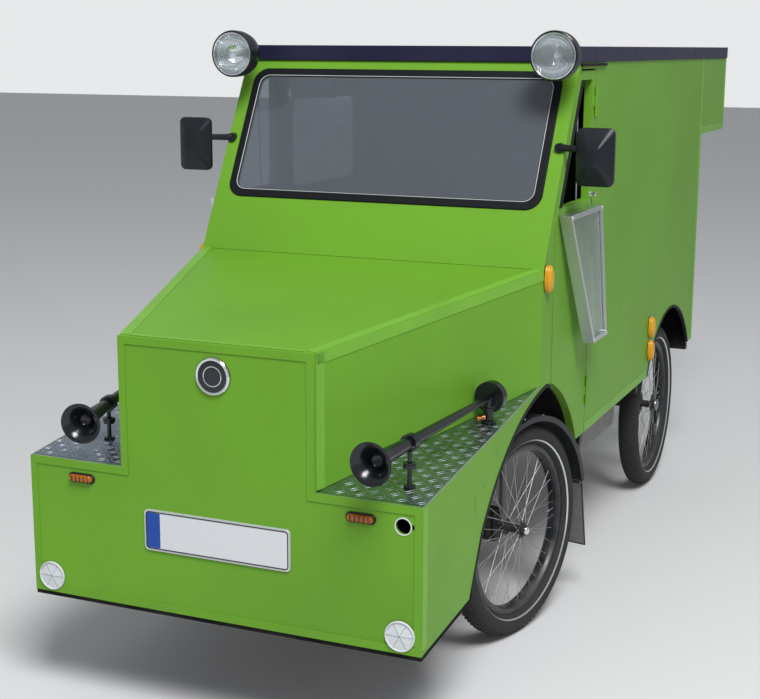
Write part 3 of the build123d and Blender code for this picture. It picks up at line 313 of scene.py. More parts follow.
weave.links.new(maths(weave, "MULTIPLY_ADD", uneven, 0.1, given["Roughness"]), result["Roughness"])
weave.links.new(lifted, result["Height"])
print("woven threads", len(weave.nodes), "nodes")

# %% [markdown]
# ### Fine grain
# Moulded plastic, rubber, brushed metal and plywood all have a grain. The same noise serves each of
# them, stretched along an axis by a Mapping node: evenly for plastic, strongly for brushed metal.

# %% Fine grain
grain, given, result = effect_group(
    "fine_grain",
    [("Color", COLOUR, WHITE), ("Second", COLOUR, WHITE), ("Stretch", VECTOR, (400.0, 400.0, 400.0)),
     ("Second Share", NUMBER, 0.3), ("Roughness", NUMBER, 0.5), ("Spread", NUMBER, 0.15)],
    [("Color", COLOUR), ("Roughness", NUMBER), ("Height", NUMBER)])
where = add(grain, "ShaderNodeTexCoord").outputs["Object"]
stretched = add(grain, "ShaderNodeMapping", {"Vector": where, "Scale": given["Stretch"]}).outputs[0]
fine = add(grain, "ShaderNodeTexNoise", {"Vector": stretched, "Scale": 1.0, "Detail": 4.0}).outputs[0]
share = maths(grain, "MULTIPLY", fine, given["Second Share"])
grain.links.new(blended(grain, share, given["Color"], given["Second"]), result["Color"])
swing = maths(grain, "MULTIPLY", maths(grain, "SUBTRACT", fine, 0.5), given["Spread"])
grain.links.new(maths(grain, "ADD", swing, given["Roughness"]), result["Roughness"])
grain.links.new(fine, result["Height"])
print("effect groups", len(bpy.data.node_groups))

# %% [markdown]
# ## The finishes
# Each material places one or two of the groups with its own values and wires them to the
# Principled shader, which stays in the material. Values that are the same all over, such as a
# metal's Metallic or a glass's Transmission Weight, are set on the shader's own sockets.

# %% Materials from the groups
materials = {}


def new_material(name, **shader_values):
    """A material whose Principled shader has these constant values."""
    material = bpy.data.materials.new(name)
    material.use_nodes = True
    shader = material.node_tree.nodes["Principled BSDF"]
    for label, value in shader_values.items():
        shader.inputs[label.replace("_", " ")].default_value = value
    materials[name] = material
    return material.node_tree, shader


def placed(tree, group, **values):
    """A group in a material, with its inputs set or linked."""
    made = tree.nodes.new("ShaderNodeGroup")
    made.node_tree = group
    for label, value in values.items():
        socket = made.inputs[label.replace("_", " ")]
        if isinstance(value, bpy.types.NodeSocket):
            tree.links.new(value, socket)
        else:
            socket.default_value = value
    return made.outputs


def wired(tree, shader, outputs, bump=0.0):
    """Colour and roughness go to the shader, the height through a Bump node."""
    tree.links.new(outputs["Color"], shader.inputs["Base Color"])
    tree.links.new(outputs["Roughness"], shader.inputs["Roughness"])
    if bump:
        made = add(tree, "ShaderNodeBump", {"Height": outputs["Height"], "Distance": bump, "Strength": 0.5})
        tree.links.new(made.outputs[0], shader.inputs["Normal"])


def opaque(rgb):
    return (*rgb, 1)


# name: colour, weathered tone, cloud scale, share, roughness, spread, specular level, dirt top, dirt amount
paints = {
    "green_panel": ((0.132, 0.325, 0.022), (0.115, 0.275, 0.022), 2.2, 0.6, 0.44, 0.10, 0.20, 0.42, 0.10),
    "green_edge": ((0.160, 0.385, 0.036), (0.125, 0.300, 0.028), 5.0, 0.5, 0.40, 0.10, 0.25, 0.42, 0.10),
    "roof_paint": ((0.014, 0.013, 0.042), (0.022, 0.021, 0.050), 4.0, 0.6, 0.45, 0.15, 0.18, 0.1, 0.0),
    "black_steel": ((0.010, 0.011, 0.013), (0.030, 0.029, 0.028), 8.0, 0.7, 0.45, 0.2, 0.30, 0.75, 0.30),
    "inner_black": ((0.004, 0.004, 0.005), (0.012, 0.012, 0.012), 8.0, 0.7, 0.80, 0.1, 0.10, 0.75, 0.10),
    "grey_box": ((0.20, 0.195, 0.19), (0.27, 0.26, 0.245), 6.0, 0.6, 0.6, 0.2, 0.30, 0.6, 0.5),
    "rim_black": ((0.010, 0.012, 0.016), (0.040, 0.040, 0.040), 30.0, 0.5, 0.30, 0.25, 0.50, 0.26, 0.50),
}
for name, (colour, tone, scale, share, rough, spread, specular, dirt_top, amount) in paints.items():
    tree, shader = new_material(name, Specular_IOR_Level=specular)
    base = placed(tree, clouds, Color=opaque(colour), Weathered=opaque(tone), Cloud_Scale=scale,
                  Cloud_Share=share, Roughness=rough, Spread=spread)
    wired(tree, shader, base, 0.0002)
    if amount:
        soiled = placed(tree, dirt, Color=base["Color"], Clean_Above=dirt_top, Amount=amount,
                        Roughness=base["Roughness"])
        tree.links.new(soiled["Color"], shader.inputs["Base Color"])
        tree.links.new(soiled["Roughness"], shader.inputs["Roughness"])

# name: colour, second colour, stretch, share, roughness, spread, metallic, specular level, bump
grains = {
    "black_rubber": ((0.004, 0.005, 0.007), (0.015, 0.016, 0.018),
                     (90, 90, 90), 0.4, 0.55, 0.2, 0, 0.15, 0.0003),
    "tyre": ((0.012, 0.013, 0.015), (0.070, 0.066, 0.058), (60, 60, 60), 0.45, 0.75, 0.2, 0, 0.3, 0.0006),
    "black_gloss": ((0.003, 0.004, 0.006), (0.010, 0.011, 0.014), (30, 30, 30), 0.5, 0.20, 0.1, 0, 0.5, 0),
    "black_plastic": ((0.005, 0.007, 0.011), (0.013, 0.016, 0.021),
                      (700, 700, 700), 0.5, 0.33, 0.1, 0, 0.35, 0.0001),
    "guard_grey": ((0.016, 0.018, 0.022), (0.060, 0.060, 0.060),
                   (40, 40, 40), 0.55, 0.5, 0.25, 0, 0.3, 0.0002),
    "flap_grey": ((0.12, 0.125, 0.13), (0.28, 0.27, 0.25), (25, 25, 60), 0.6, 0.62, 0.25, 0, 0.3, 0.0004),
    "bare_aluminium": ((0.72, 0.74, 0.75), (0.48, 0.50, 0.51),
                       (900, 900, 30), 0.5, 0.30, 0.2, 1, 0.5, 0.0001),
    "bright_edge": ((0.74, 0.77, 0.76), (0.5, 0.52, 0.52), (300, 300, 300), 0.4, 0.3, 0.2, 1, 0.5, 0),
    "bright_rib": ((0.48, 0.53, 0.58), (0.34, 0.38, 0.42), (150, 150, 150), 0.5, 0.42, 0.2, 1, 0.5, 0),
    "steel": ((0.30, 0.30, 0.31), (0.16, 0.15, 0.14), (200, 200, 200), 0.5, 0.4, 0.25, 1, 0.5, 0.0001),
    "spoke_steel": ((0.56, 0.56, 0.57), (0.34, 0.33, 0.32), (120, 120, 120), 0.6, 0.5, 0.2, 1, 0.5, 0),
    "chrome": ((0.80, 0.82, 0.84), (0.66, 0.68, 0.71), (60, 60, 60), 0.4, 0.10, 0.1, 1, 0.5, 0),
    "plywood": ((0.40, 0.27, 0.15), (0.26, 0.16, 0.08), (60, 4, 60), 0.7, 0.5, 0.15, 0, 0.3, 0.0002),
    "plate_white": ((0.62, 0.64, 0.66), (0.52, 0.54, 0.56), (40, 40, 40), 0.4, 0.35, 0.1, 0, 0.4, 0),
    "plate_blue": ((0.003, 0.055, 0.33), (0.005, 0.045, 0.24), (40, 40, 40), 0.4, 0.35, 0.1, 0, 0.4, 0),
    "badge_dark": ((0.012, 0.014, 0.018), (0.03, 0.035, 0.04),
                   (300, 300, 300), 0.5, 0.3, 0.2, 0, 0.4, 0.0001),
    "copper_fitting": ((0.55, 0.22, 0.09), (0.30, 0.13, 0.06), (200, 200, 200), 0.5, 0.35, 0.2, 1, 0.5, 0),
    "studio_floor": ((0.66, 0.665, 0.67), (0.64, 0.645, 0.65), (2, 2, 2), 0.5, 0.9, 0.1, 0, 0.2, 0),
}
for name, (colour, second, stretch, share, rough, spread, metal, specular, bump) in grains.items():
    tree, shader = new_material(name, Metallic=metal, Specular_IOR_Level=specular)
    wired(tree, shader, placed(tree, grain, Color=opaque(colour), Second=opaque(second), Stretch=stretch,
                               Second_Share=share, Roughness=rough, Spread=spread), bump)

# name: colour, thread colour, threads
cloths = {
    "seat_fabric": ((0.030, 0.032, 0.038), (0.085, 0.09, 0.10), 900.0),
    "mattress_fabric": ((0.22, 0.24, 0.28), (0.36, 0.38, 0.42), 1100.0),
}
for name, (colour, thread, threads) in cloths.items():
    tree, shader = new_material(name, Sheen_Weight=0.08)
    woven = placed(tree, weave, Color=opaque(colour), Thread=opaque(thread), Threads=threads)
    wired(tree, shader, woven, 0.0004)

floor_mesh.materials.append(materials["studio_floor"])
print("materials", len(materials))

# %% [markdown]
# ### Glass and lenses
# Glass keeps a plain Transmission Weight. Part of the windscreen's weight stays with a diffuse grey,
# which is a painted reflection of the sky on the glass. The lamp lenses and the amber ones are
# ribbed: a wave in Object coordinates drives their Bump node.

# %% Glass and lenses
# name: colour, roughness, transmission, rib scale, rib height
lenses = {
    # screen_glass: the diffuse grey that keeps part of the weight is a painted reflection of the sky.
    "screen_glass": ((0.255, 0.285, 0.33), 0.02, 0.74, 0, 0),
    # clear_acrylic: its green tint is a painted reflection of the green paint.
    "clear_acrylic": ((0.70, 0.82, 0.74), 0.05, 0.90, 0, 0),
    "lamp_glass": ((0.94, 0.97, 0.98), 0.01, 0.97, 42.0, 0.0008),
    "amber_lens": ((0.90, 0.43, 0.016), 0.14, 0.30, 55.0, 0.0012),
    "amber_marker": ((0.52, 0.15, 0.006), 0.14, 0.30, 55.0, 0.0012),
    "red_lens": ((0.55, 0.010, 0.008), 0.16, 0.35, 55.0, 0.0012),
}
for name, (colour, rough, clear, ribs, rise) in lenses.items():
    tree, shader = new_material(name, Transmission_Weight=clear, IOR=1.46)
    base = placed(tree, grain, Color=opaque(colour), Second=opaque([0.85 * c for c in colour]),
                  Stretch=(9, 9, 9), Second_Share=0.5, Roughness=rough, Spread=0.03)
    wired(tree, shader, base)
    if ribs:
        where = add(tree, "ShaderNodeTexCoord").outputs["Object"]
        wave = add(tree, "ShaderNodeTexWave", {"Vector": where, "Scale": ribs, "Distortion": 0.0},
                   bands_direction="X").outputs[1]
        rib = add(tree, "ShaderNodeBump", {"Height": wave, "Distance": rise, "Strength": 0.8})
        tree.links.new(rib.outputs[0], shader.inputs["Normal"])

# %% [markdown]
# ### Reflectors and tread plate
# A reflector is a field of tiny prisms: a Voronoi pattern gives each one its own tone. Tread plate
# is rolled aluminium with fine scratches in all directions; its blue tint is a painted reflection of the
# sky.

# %% Reflectors and tread plate
tree, shader = new_material("white_reflector", Coat_Weight=0.6)
where = add(tree, "ShaderNodeTexCoord").outputs["Object"]
cells = add(tree, "ShaderNodeTexVoronoi", {"Vector": where, "Scale": 700.0})
tone = ramped(tree, add(tree, "ShaderNodeSeparateXYZ", {0: cells.outputs["Color"]}).outputs[0], 0.1, 0.9)
prisms = blended(tree, tone, (0.50, 0.54, 0.56, 1), (0.68, 0.71, 0.72, 1))
tree.links.new(prisms, shader.inputs["Base Color"])
tree.links.new(maths(tree, "MULTIPLY_ADD", tone, 0.25, 0.2), shader.inputs["Roughness"])
rise = add(tree, "ShaderNodeBump", {
    "Height": cells.outputs["Distance"], "Distance": 0.001, "Strength": 0.5})
tree.links.new(rise.outputs[0], shader.inputs["Normal"])

tree, shader = new_material("tread_plate", Metallic=1)
where = add(tree, "ShaderNodeTexCoord").outputs["Object"]
scratches = []
for turn in (0.4, -0.7):
    drawn = add(tree, "ShaderNodeMapping", {
        "Vector": where, "Rotation": (0, 0, turn), "Scale": (500, 24, 200)})
    scratch = add(tree, "ShaderNodeTexNoise", {"Vector": drawn.outputs[0], "Scale": 1.0, "Detail": 3.0})
    scratches.append(scratch.outputs[0])
both_ways = maths(tree, "MAXIMUM", *scratches)
# The blue tint of the tread plate's colour and of its paler clouds is a painted reflection of the sky.
base = placed(tree, clouds, Color=(0.25, 0.30, 0.38, 1), Weathered=(0.40, 0.45, 0.50, 1), Cloud_Scale=9.0,
              Cloud_Share=0.8, Roughness=0.32, Spread=0.2)
tree.links.new(base["Color"], shader.inputs["Base Color"])
tree.links.new(maths(tree, "MULTIPLY_ADD", ramped(tree, both_ways, 0.5, 0.8), 0.16, base["Roughness"]),
               shader.inputs["Roughness"])
rise = add(tree, "ShaderNodeBump", {"Height": both_ways, "Distance": 0.0003, "Strength": 0.4})
tree.links.new(rise.outputs[0], shader.inputs["Normal"])
print("materials", len(materials))

# %% [markdown]
# ## Dressing the solids
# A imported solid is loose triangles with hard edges. A copy of it is merged, its flat areas are
# joined into single faces, smooth surfaces get smooth normals and the hard edges a narrow bevel,
# because real sheet metal and plastic catch the light there. The copy keeps the solid's form and
# stands for it. The table names each node, its finish, its bevel in mm and its record slot.

# %% Piece helpers
body_of_node = {name: node["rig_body"] for name, node in frame["nodes"].items()}
piece_count = 0


def settled(piece, body, material=None, replaced=()):
    """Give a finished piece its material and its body."""
    global piece_count
    if material:
        piece.data.materials.clear()
        piece.data.materials.append(materials[material])
    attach(piece, body)
    if replaced:
        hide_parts(*replaced)
    piece_count += 1
    return piece


def plain_mesh(piece):
    """Run a piece's modifiers once and keep the result as its mesh."""
    bpy.context.view_layer.update()
    result = bpy.data.meshes.new_from_object(piece.evaluated_get(bpy.context.evaluated_depsgraph_get()))
    piece.modifiers.clear()
    piece.data = result
    return piece


def linked(name, mesh):
    piece = bpy.data.objects.new(name, mesh)
    scene.collection.objects.link(piece)
    return piece


def shaded(mesh, angle=35):
    """Smooth normals, apart from edges sharper than an angle."""
    mesh.polygons.foreach_set("use_smooth", [True] * len(mesh.polygons))
    mesh.set_sharp_from_angle(angle=radians(angle))


def bevelled(piece, width, segments=2):
    if width:
        edge = piece.modifiers.new("edge", "BEVEL")
        edge.width, edge.segments, edge.limit_method = width * MM, segments, "ANGLE"
        edge.angle_limit = radians(40)
        edge.harden_normals = True
        plain_mesh(piece)
    return piece


def dressed(node, material, bevel=0.0):
    """A merged, smoothed and bevelled copy of a CAD node, which it replaces."""
    mesh = frame["nodes"][node].data.copy()
    work = bmesh.new()
    work.from_mesh(mesh)
    bmesh.ops.remove_doubles(work, verts=work.verts, dist=1e-6)
    bmesh.ops.dissolve_limit(work, angle_limit=radians(0.5), verts=work.verts, edges=work.edges)
    work.to_mesh(mesh)
    work.free()
    mesh.materials.clear()
    shaded(mesh)
    piece = bevelled(linked(node + "_dressed", mesh), bevel)
    return settled(piece, body_of_node[node], material, [node])


# %% Dress the nodes
# node: material, bevel in mm, slot
dresses = {
    "front_panel": ("green_panel", 0.8, None), "bonnet": ("green_panel", 1.5, None),
    "box_sides": ("green_panel", 1.2, None), "cab_posts": ("green_panel", 1.2, None),
    "windscreen_panel": ("green_panel", 1.0, None), "side_panel_left": ("green_panel", 0.8, None),
    "side_panel_right": ("green_panel", 0.8, None), "rear_wall": ("green_panel", 1.0, None),
    "rear_alcove": ("green_panel", 1.5, None), "door_left": ("green_panel", 0.8, None),
    "door_right": ("green_panel", 0.8, None), "roof": ("roof_paint", 2.5, None),
    "nose_floor": ("inner_black", 1.0, "black_steel"), "wheel_housings": ("inner_black", 0, "black_steel"),
    "chassis_frame": ("black_steel", 1.5, None), "floor": ("plywood", 1.0, None),
    "underfloor_box": ("grey_box", 6.0, None), "front_axle": ("black_steel", 0, None),
    "rear_axle": ("black_steel", 0, None), "knuckle_left": ("black_steel", 0, None),
    "knuckle_right": ("black_steel", 0, None), "tie_rod": ("steel", 0, None),
    "steering_column": ("black_steel", 0, None), "crank_post": ("black_steel", 0, None),
    "crankset": ("steel", 0, None), "seat_base": ("plywood", 1.5, None), "bunk": ("plywood", 1.5, None),
    "windscreen_seal": ("black_rubber", 2.5, None), "edge_trims": ("black_rubber", 1.0, None),
    "windscreen_glass": ("screen_glass", 0, None), "side_window": ("clear_acrylic", 0, None),
    "flap_pane_left": ("clear_acrylic", 0, None), "flap_pane_right": ("clear_acrylic", 0, None),
    "window_flap_left": ("bare_aluminium", 1.5, None), "window_flap_right": ("bare_aluminium", 1.5, None),
    "tread_decks": ("tread_plate", 0, None), "mirrors": ("black_plastic", 0, None),
    "horns": ("black_gloss", 0, "black_plastic"), "number_plate": ("plate_white", 0.8, None),
    "bonnet_badge": ("badge_dark", 0, "chrome"), "rear_lamps": ("red_lens", 3.0, None),
    "mudguard_left": ("guard_grey", 0, None), "mudguard_right": ("guard_grey", 0, None),
    "handlebar": ("black_plastic", 0, None),
}


def slimmed_angle(piece):
    """Draw the raised angle on the front panel in from 30 to 20 mm wide."""
    near = 1.2
    # old inner edge: new inner edge
    moves_x = {530: 540, 246: 256}
    moves_z = {315: 305, 630: 640, 976: 986}
    for vertex in piece.data.vertices:
        x, z = vertex.co.x / MM, vertex.co.z / MM - GROUND_DROP
        for old, new in moves_x.items():
            if abs(abs(x) - old) < near:
                vertex.co.x += (new - old) * MM * (1 if x > 0 else -1)
        for old, new in moves_z.items():
            if abs(z - old) < near:
                vertex.co.z += (new - old) * MM


pieces = {}
for node, (material, bevel, slot) in dresses.items():
    pieces[node] = dressed(node, material, bevel)
slimmed_angle(pieces["front_panel"])
print("dressed", len(pieces), "nodes")

# %% [markdown]
# ## Shapes by turning, framing and barring
# Round pieces come from a profile turned about an axis. Rims, borders and beads are one closed
# section carried round a rounded rectangle. Flat trims are bars that lie on a panel.

# %% Shape helpers


def closed_mesh(name, points, faces, smooth=True):
    mesh = bpy.data.meshes.new(name)
    mesh.from_pydata([tuple(p) for p in points], [], faces)
    work = bmesh.new()
    work.from_mesh(mesh)
    bmesh.ops.remove_doubles(work, verts=work.verts, dist=1e-7)
    bmesh.ops.recalc_face_normals(work, faces=work.faces)
    work.to_mesh(mesh)
    work.free()
    if smooth:
        shaded(mesh)
    return mesh


def turned(name, profile, place, segments=64, closed=False):
    """Turn a (radius, distance) profile, in mm, about the Z axis of a placing matrix."""
    points, rows, faces = [], [], []
    for radius, distance in profile:
        count = segments if radius else 1
        rows.append([len(points) + k for k in range(count)])
        for k in range(count):
            angle = 2 * pi * k / segments
            corner = Vector((radius * cos(angle) * MM, radius * sin(angle) * MM, distance * MM))
            points.append(place @ corner)
    pairs = list(zip(rows, rows[1:])) + ([(rows[-1], rows[0])] if closed else [])
    for first, second in pairs:
        for k in range(segments):
            corners = [first[k % len(first)], first[(k + 1) % len(first)],
                       second[(k + 1) % len(second)], second[k % len(second)]]
            corners = list(dict.fromkeys(corners))
            if len(corners) > 2:
                faces.append(corners)
    return linked(name, closed_mesh(name, points, faces))


def facing(place, direction, turn=0.0):
    """A placing matrix at a point, with its Z axis along a direction."""
    aim = Vector(direction).to_track_quat("Z", "Y").to_matrix().to_4x4()
    return Matrix.Translation(place) @ aim @ Matrix.Rotation(turn, 4, "Z")


def rounded(width, height, radius, steps=6):
    """The corners' points of a rounded rectangle, in mm."""
    points = []
    for corner, (sx, sy) in enumerate(((1, 1), (-1, 1), (-1, -1), (1, -1))):
        cx, cy = sx * (width / 2 - radius), sy * (height / 2 - radius)
        for k in range(steps + 1):
            angle = (corner + k / steps) * pi / 2
            points.append((cx + radius * cos(angle), cy + radius * sin(angle)))
    return points


def framed(name, width, height, radius, section, place):
    """Carry a closed (inset, lift) section round a rounded rectangle."""
    points, faces = [], []
    loops = [rounded(width - 2 * inset, height - 2 * inset, max(radius - inset, 0.5))
             for inset, lift in section]
    count = len(loops[0])
    for loop, (inset, lift) in zip(loops, section):
        points += [place @ Vector((x * MM, y * MM, lift * MM)) for x, y in loop]
    for row in range(len(section)):
        after = (row + 1) % len(section)
        for k in range(count):
            step = (k + 1) % count
            faces.append([row * count + k, row * count + step, after * count + step, after * count + k])
    return linked(name, closed_mesh(name, points, faces))


def plaque(name, width, height, radius, rows, place):
    """A solid with a rounded outline: each (inset, lift) row is a contour, from back to front."""
    points, count = [], 0
    for inset, lift in rows:
        loop = rounded(width - 2 * inset, height - 2 * inset, max(radius - inset, 0.5))
        count = len(loop)
        points += [place @ Vector((x * MM, y * MM, lift * MM)) for x, y in loop]
    faces = [list(range(count)), list(range((len(rows) - 1) * count, len(rows) * count))]
    for row in range(len(rows) - 1):
        for k in range(count):
            step = (k + 1) % count
            base, top = row * count, (row + 1) * count
            faces.append([base + k, base + step, top + step, top + k])
    return linked(name, closed_mesh(name, points, faces))


def joined(name, parts):
    """Several pieces' meshes as one piece."""
    work = bmesh.new()
    for part in parts:
        work.from_mesh(part.data)
    mesh = bpy.data.meshes.new(name)
    work.to_mesh(mesh)
    work.free()
    for part in parts:
        old = part.data
        bpy.data.objects.remove(part)
        bpy.data.meshes.remove(old)
    shaded(mesh)
    return linked(name, mesh)


def bar(name, start, end, inward, outward, width, thickness):
    """A flat bar from start to end: it lies inward of that line and stands out of the panel."""
    across, rise = Vector(inward).normalized() * width * MM, Vector(outward).normalized() * thickness * MM
    base = [start, end, end + across, start + across]
    points = [p - rise * 0.2 for p in base] + [p + rise for p in base]
    faces = [(0, 1, 2, 3), (4, 5, 6, 7), (0, 1, 5, 4), (1, 2, 6, 5), (2, 3, 7, 6), (3, 0, 4, 7)]
    return bevelled(linked(name, closed_mesh(name, points, faces, False)), min(thickness * 0.45, 0.8), 1)


# %% [markdown]
# ## Edge angles
# The body is glued together from flat boards, and painted angle profiles 30 mm wide cover each
# joint. They give the box its fine double lines. Each row of the table is one leg of an angle: its
# two ends and the way to the middle of its panel.

# %% Edge angles
LEG, LEG_THICK = 30, 1.6
UP, OUT, INWARD, AHEAD, BACK = (0, 0, 1), (1, 0, 0), (-1, 0, 0), (0, -1, 0), (0, 1, 0)
bonnet_side_out = Vector((BONNET_RUN, -BONNET_SPREAD, 0)).normalized()
bonnet_up = Vector((0, -BONNET_RISE, BONNET_RUN)).normalized()
BONNET_TURNED, DECK_INSIDE = 1, 4
nose_corner = (NOSE_HALF, NOSE_STATION, NOSE_HEIGHT)
nose_turned = (NOSE_HALF, NOSE_STATION, NOSE_HEIGHT - BONNET_TURNED)
crease_corner = (HALF_WIDTH, CREASE_STATION, CREASE_HEIGHT)
crease_turned = (HALF_WIDTH, CREASE_STATION, CREASE_HEIGHT - BONNET_TURNED)
bonnet_edge = (at(*crease_corner) - at(*nose_corner)).normalized()
# start (x, station, height), end, inward, outward
legs = [
    (nose_corner, crease_corner, bonnet_up.cross(bonnet_edge), bonnet_up),
    (nose_turned, crease_turned, bonnet_side_out.cross(-bonnet_edge), bonnet_side_out),
    ((NOSE_HALF, NOSE_STATION, DECK_HEIGHT + DECK_INSIDE), nose_turned,
     (BONNET_SPREAD, BONNET_RUN, 0), bonnet_side_out),
    ((HALF_WIDTH, 0, NOSE_BOTTOM), (HALF_WIDTH, 0, DECK_HEIGHT), BACK, OUT),
    ((HALF_WIDTH, DOOR_REAR, BOX_BOTTOM), (HALF_WIDTH, ARCH_FRONT, BOX_BOTTOM), UP, OUT),
    ((HALF_WIDTH, ARCH_REAR, BOX_BOTTOM), (HALF_WIDTH, BOX_REAR, BOX_BOTTOM), UP, OUT),
    ((HALF_WIDTH, BOX_REAR, BOX_BOTTOM + LEG), (HALF_WIDTH, BOX_REAR, HEADER_HEIGHT), AHEAD, OUT),
    ((HALF_WIDTH, ALCOVE_REAR, ALCOVE_BOTTOM + LEG), (HALF_WIDTH, ALCOVE_REAR, HEADER_HEIGHT), AHEAD, OUT),
    ((HALF_WIDTH, BOX_REAR, ALCOVE_BOTTOM), (HALF_WIDTH, ALCOVE_REAR, ALCOVE_BOTTOM), UP, OUT),
    ((HALF_WIDTH, BOX_REAR, BOX_BOTTOM), (HALF_WIDTH, BOX_REAR, ALCOVE_BOTTOM), INWARD, BACK),
    ((HALF_WIDTH, ALCOVE_REAR, ALCOVE_BOTTOM + LEG), (HALF_WIDTH, ALCOVE_REAR, HEADER_HEIGHT),
     INWARD, BACK),
]
parts = []
for start, end, inward, outward in legs:
    for side in (1, -1):
        flip = Vector((side, 1, 1))
        ends = [at(side * p[0], p[1], p[2]) for p in (start, end)]
        parts.append(bar("leg", *ends, Vector(inward) * flip, Vector(outward) * flip, LEG, LEG_THICK))
# half width, station, height, inward, outward
for half, station, height, inward, outward in (
        (NOSE_HALF - LEG, NOSE_STATION, NOSE_HEIGHT, BACK, bonnet_up),
        (HALF_WIDTH, ALCOVE_REAR, ALCOVE_BOTTOM, UP, BACK)):
    ends = at(-half, station, height), at(half, station, height)
    parts.append(bar("leg", *ends, inward, outward, LEG, LEG_THICK))
settled(joined("edge_angles", parts), "root", "green_edge")
print("edge angle legs", len(legs) * 2 + 2)

# %% [markdown]
# ## Tread plate
# The decks beside the bonnet are rolled tread plate: pairs of short slanted ribs that turn the
# other way in every second cell. Modelling hundreds of them by hand would be slow, so a Geometry
# Nodes tree lays a grid, drops the points outside the deck's triangle and places a pair of
# ribs on each point that is left. The whole field is then tilted into the deck's plane.

# %% Tree helpers


def growth_tree(name, inputs):
    """A Geometry Nodes tree with named inputs."""
    tree = bpy.data.node_groups.new(name, "GeometryNodeTree")
    tree.interface.new_socket("Geometry", in_out="INPUT", socket_type="NodeSocketGeometry")
    for label, kind, value in inputs:
        socket = tree.interface.new_socket(label, in_out="INPUT", socket_type=kind)
        if value is not None:
            socket.default_value = value
    tree.interface.new_socket("Geometry", in_out="OUTPUT", socket_type="NodeSocketGeometry")
    return tree, tree.nodes.new("NodeGroupInput").outputs, tree.nodes.new("NodeGroupOutput").inputs


def grown(name, tree, **values):
    """Run a tree once with its inputs set and keep the result as a plain mesh."""
    piece = linked(name, bpy.data.meshes.new(name))
    growth = piece.modifiers.new("growth", "NODES")
    growth.node_group = tree
    for item in tree.interface.items_tree:
        key = item.name.replace(" ", "_")
        if item.in_out == "INPUT" and key in values:
            growth[item.identifier] = values[key]
    plain_mesh(piece)
    shaded(piece.data, 50)
    print(name, "faces", len(piece.data.polygons))
    return piece


INTEGER, OBJECT, MATERIAL = "NodeSocketInt", "NodeSocketObject", "NodeSocketMaterial"

# %% Tread plate tree
tread, given, result = growth_tree("tread_field", [
    ("Width", NUMBER, 0.3), ("Length", NUMBER, 0.9), ("Columns", INTEGER, 10), ("Rows", INTEGER, 30),
    ("Pitch", NUMBER, 0.03), ("Inner Start", NUMBER, 0.0), ("Inner Slope", NUMBER, 0.3),
    ("Rib Size", VECTOR, (0.0150, 0.0016, 0.0006)), ("Pair Gap", NUMBER, 0.0100),
    ("Place", VECTOR, (0, 0, 0)), ("Tilt", VECTOR, (0, 0, 0)), ("Finish", MATERIAL, None)])
grid = add(tread, "GeometryNodeMeshGrid", {"Size X": given["Width"], "Size Y": given["Length"],
                                           "Vertices X": given["Columns"], "Vertices Y": given["Rows"]})
spot = add(tread, "GeometryNodeInputPosition").outputs[0]
xyz = add(tread, "ShaderNodeSeparateXYZ", {0: spot}).outputs
along = maths(tread, "ADD", xyz[1], maths(tread, "MULTIPLY", given["Length"], 0.5))
limit = maths(tread, "MULTIPLY_ADD", along, given["Inner Slope"], given["Inner Start"])
inside = maths(tread, "ADD", xyz[0], maths(tread, "MULTIPLY", given["Width"], 0.5))
outside = maths(tread, "LESS_THAN", inside, limit)
kept = add(tread, "GeometryNodeDeleteGeometry", {"Geometry": grid.outputs[0], "Selection": outside})
steps = [maths(tread, "ROUND", maths(tread, "DIVIDE", value, given["Pitch"])) for value in (inside, along)]
odd = maths(tread, "FLOORED_MODULO", maths(tread, "ADD", *steps), 2.0)
turn = maths(tread, "MULTIPLY", maths(tread, "SUBTRACT", odd, 0.5), radians(88))
spin = add(tread, "ShaderNodeCombineXYZ", {2: turn}).outputs[0]
ball = add(tread, "GeometryNodeMeshUVSphere", {"Segments": 8, "Rings": 6, "Radius": 1.0})
ribs = []
for way in (-0.5, 0.5):
    offset = add(tread, "ShaderNodeCombineXYZ", {1: maths(tread, "MULTIPLY", given["Pair Gap"], way)})
    rib = add(tread, "GeometryNodeTransform", {
        "Geometry": ball.outputs[0], "Translation": offset.outputs[0], "Scale": given["Rib Size"]})
    ribs.append(rib.outputs[0])
pair = add(tread, "GeometryNodeJoinGeometry")
for rib in ribs:
    tread.links.new(rib, pair.inputs[0])
field = add(tread, "GeometryNodeInstanceOnPoints", {"Points": kept.outputs[0], "Instance": pair.outputs[0],
                                                    "Rotation": spin})
real = add(tread, "GeometryNodeRealizeInstances", {0: field.outputs[0]})
tilted = add(tread, "GeometryNodeTransform", {"Geometry": real.outputs[0], "Translation": given["Place"],
                                              "Rotation": given["Tilt"]})
done = add(tread, "GeometryNodeSetMaterial", {"Geometry": tilted.outputs[0], "Material": given["Finish"]})
tread.links.new(done.outputs[0], result[0])
print("tread field", len(tread.nodes), "nodes")

# %% Tread ribs on both decks
PITCH, DECK_MARGIN, NOSE_GAP, BONNET_GAP = 27, 13, 26, 14
columns, rows = 10, 32
deck_slope = BONNET_SPREAD / BONNET_RUN
for side, name in ((1, "tread_ribs_left"), (-1, "tread_ribs_right")):
    width, length = PITCH * (columns - 1), PITCH * (rows - 1)
    outer, first = HALF_WIDTH - DECK_MARGIN, NOSE_GAP
    inner_start = (NOSE_HALF + BONNET_GAP + first * deck_slope) - (outer - width)
    piece = grown(name, tread, Width=width * MM, Length=length * MM, Columns=columns, Rows=rows,
                  Pitch=PITCH * MM, Inner_Start=inner_start * MM, Inner_Slope=deck_slope,
                  Place=Vector((0, 0, 0)), Finish=materials["bright_rib"])
    tilt = Matrix.Rotation(atan(DECK_RISE), 4, "X")
    centre = at(outer - width / 2, first + length / 2, DECK_HEIGHT + (first + length / 2) * DECK_RISE)
    piece.data.transform(Matrix.Diagonal((side, 1, 1, 1)) @ Matrix.Translation(centre) @ tilt)
    if side < 0:
        piece.data.flip_normals()
    settled(piece, "root", "bright_rib")

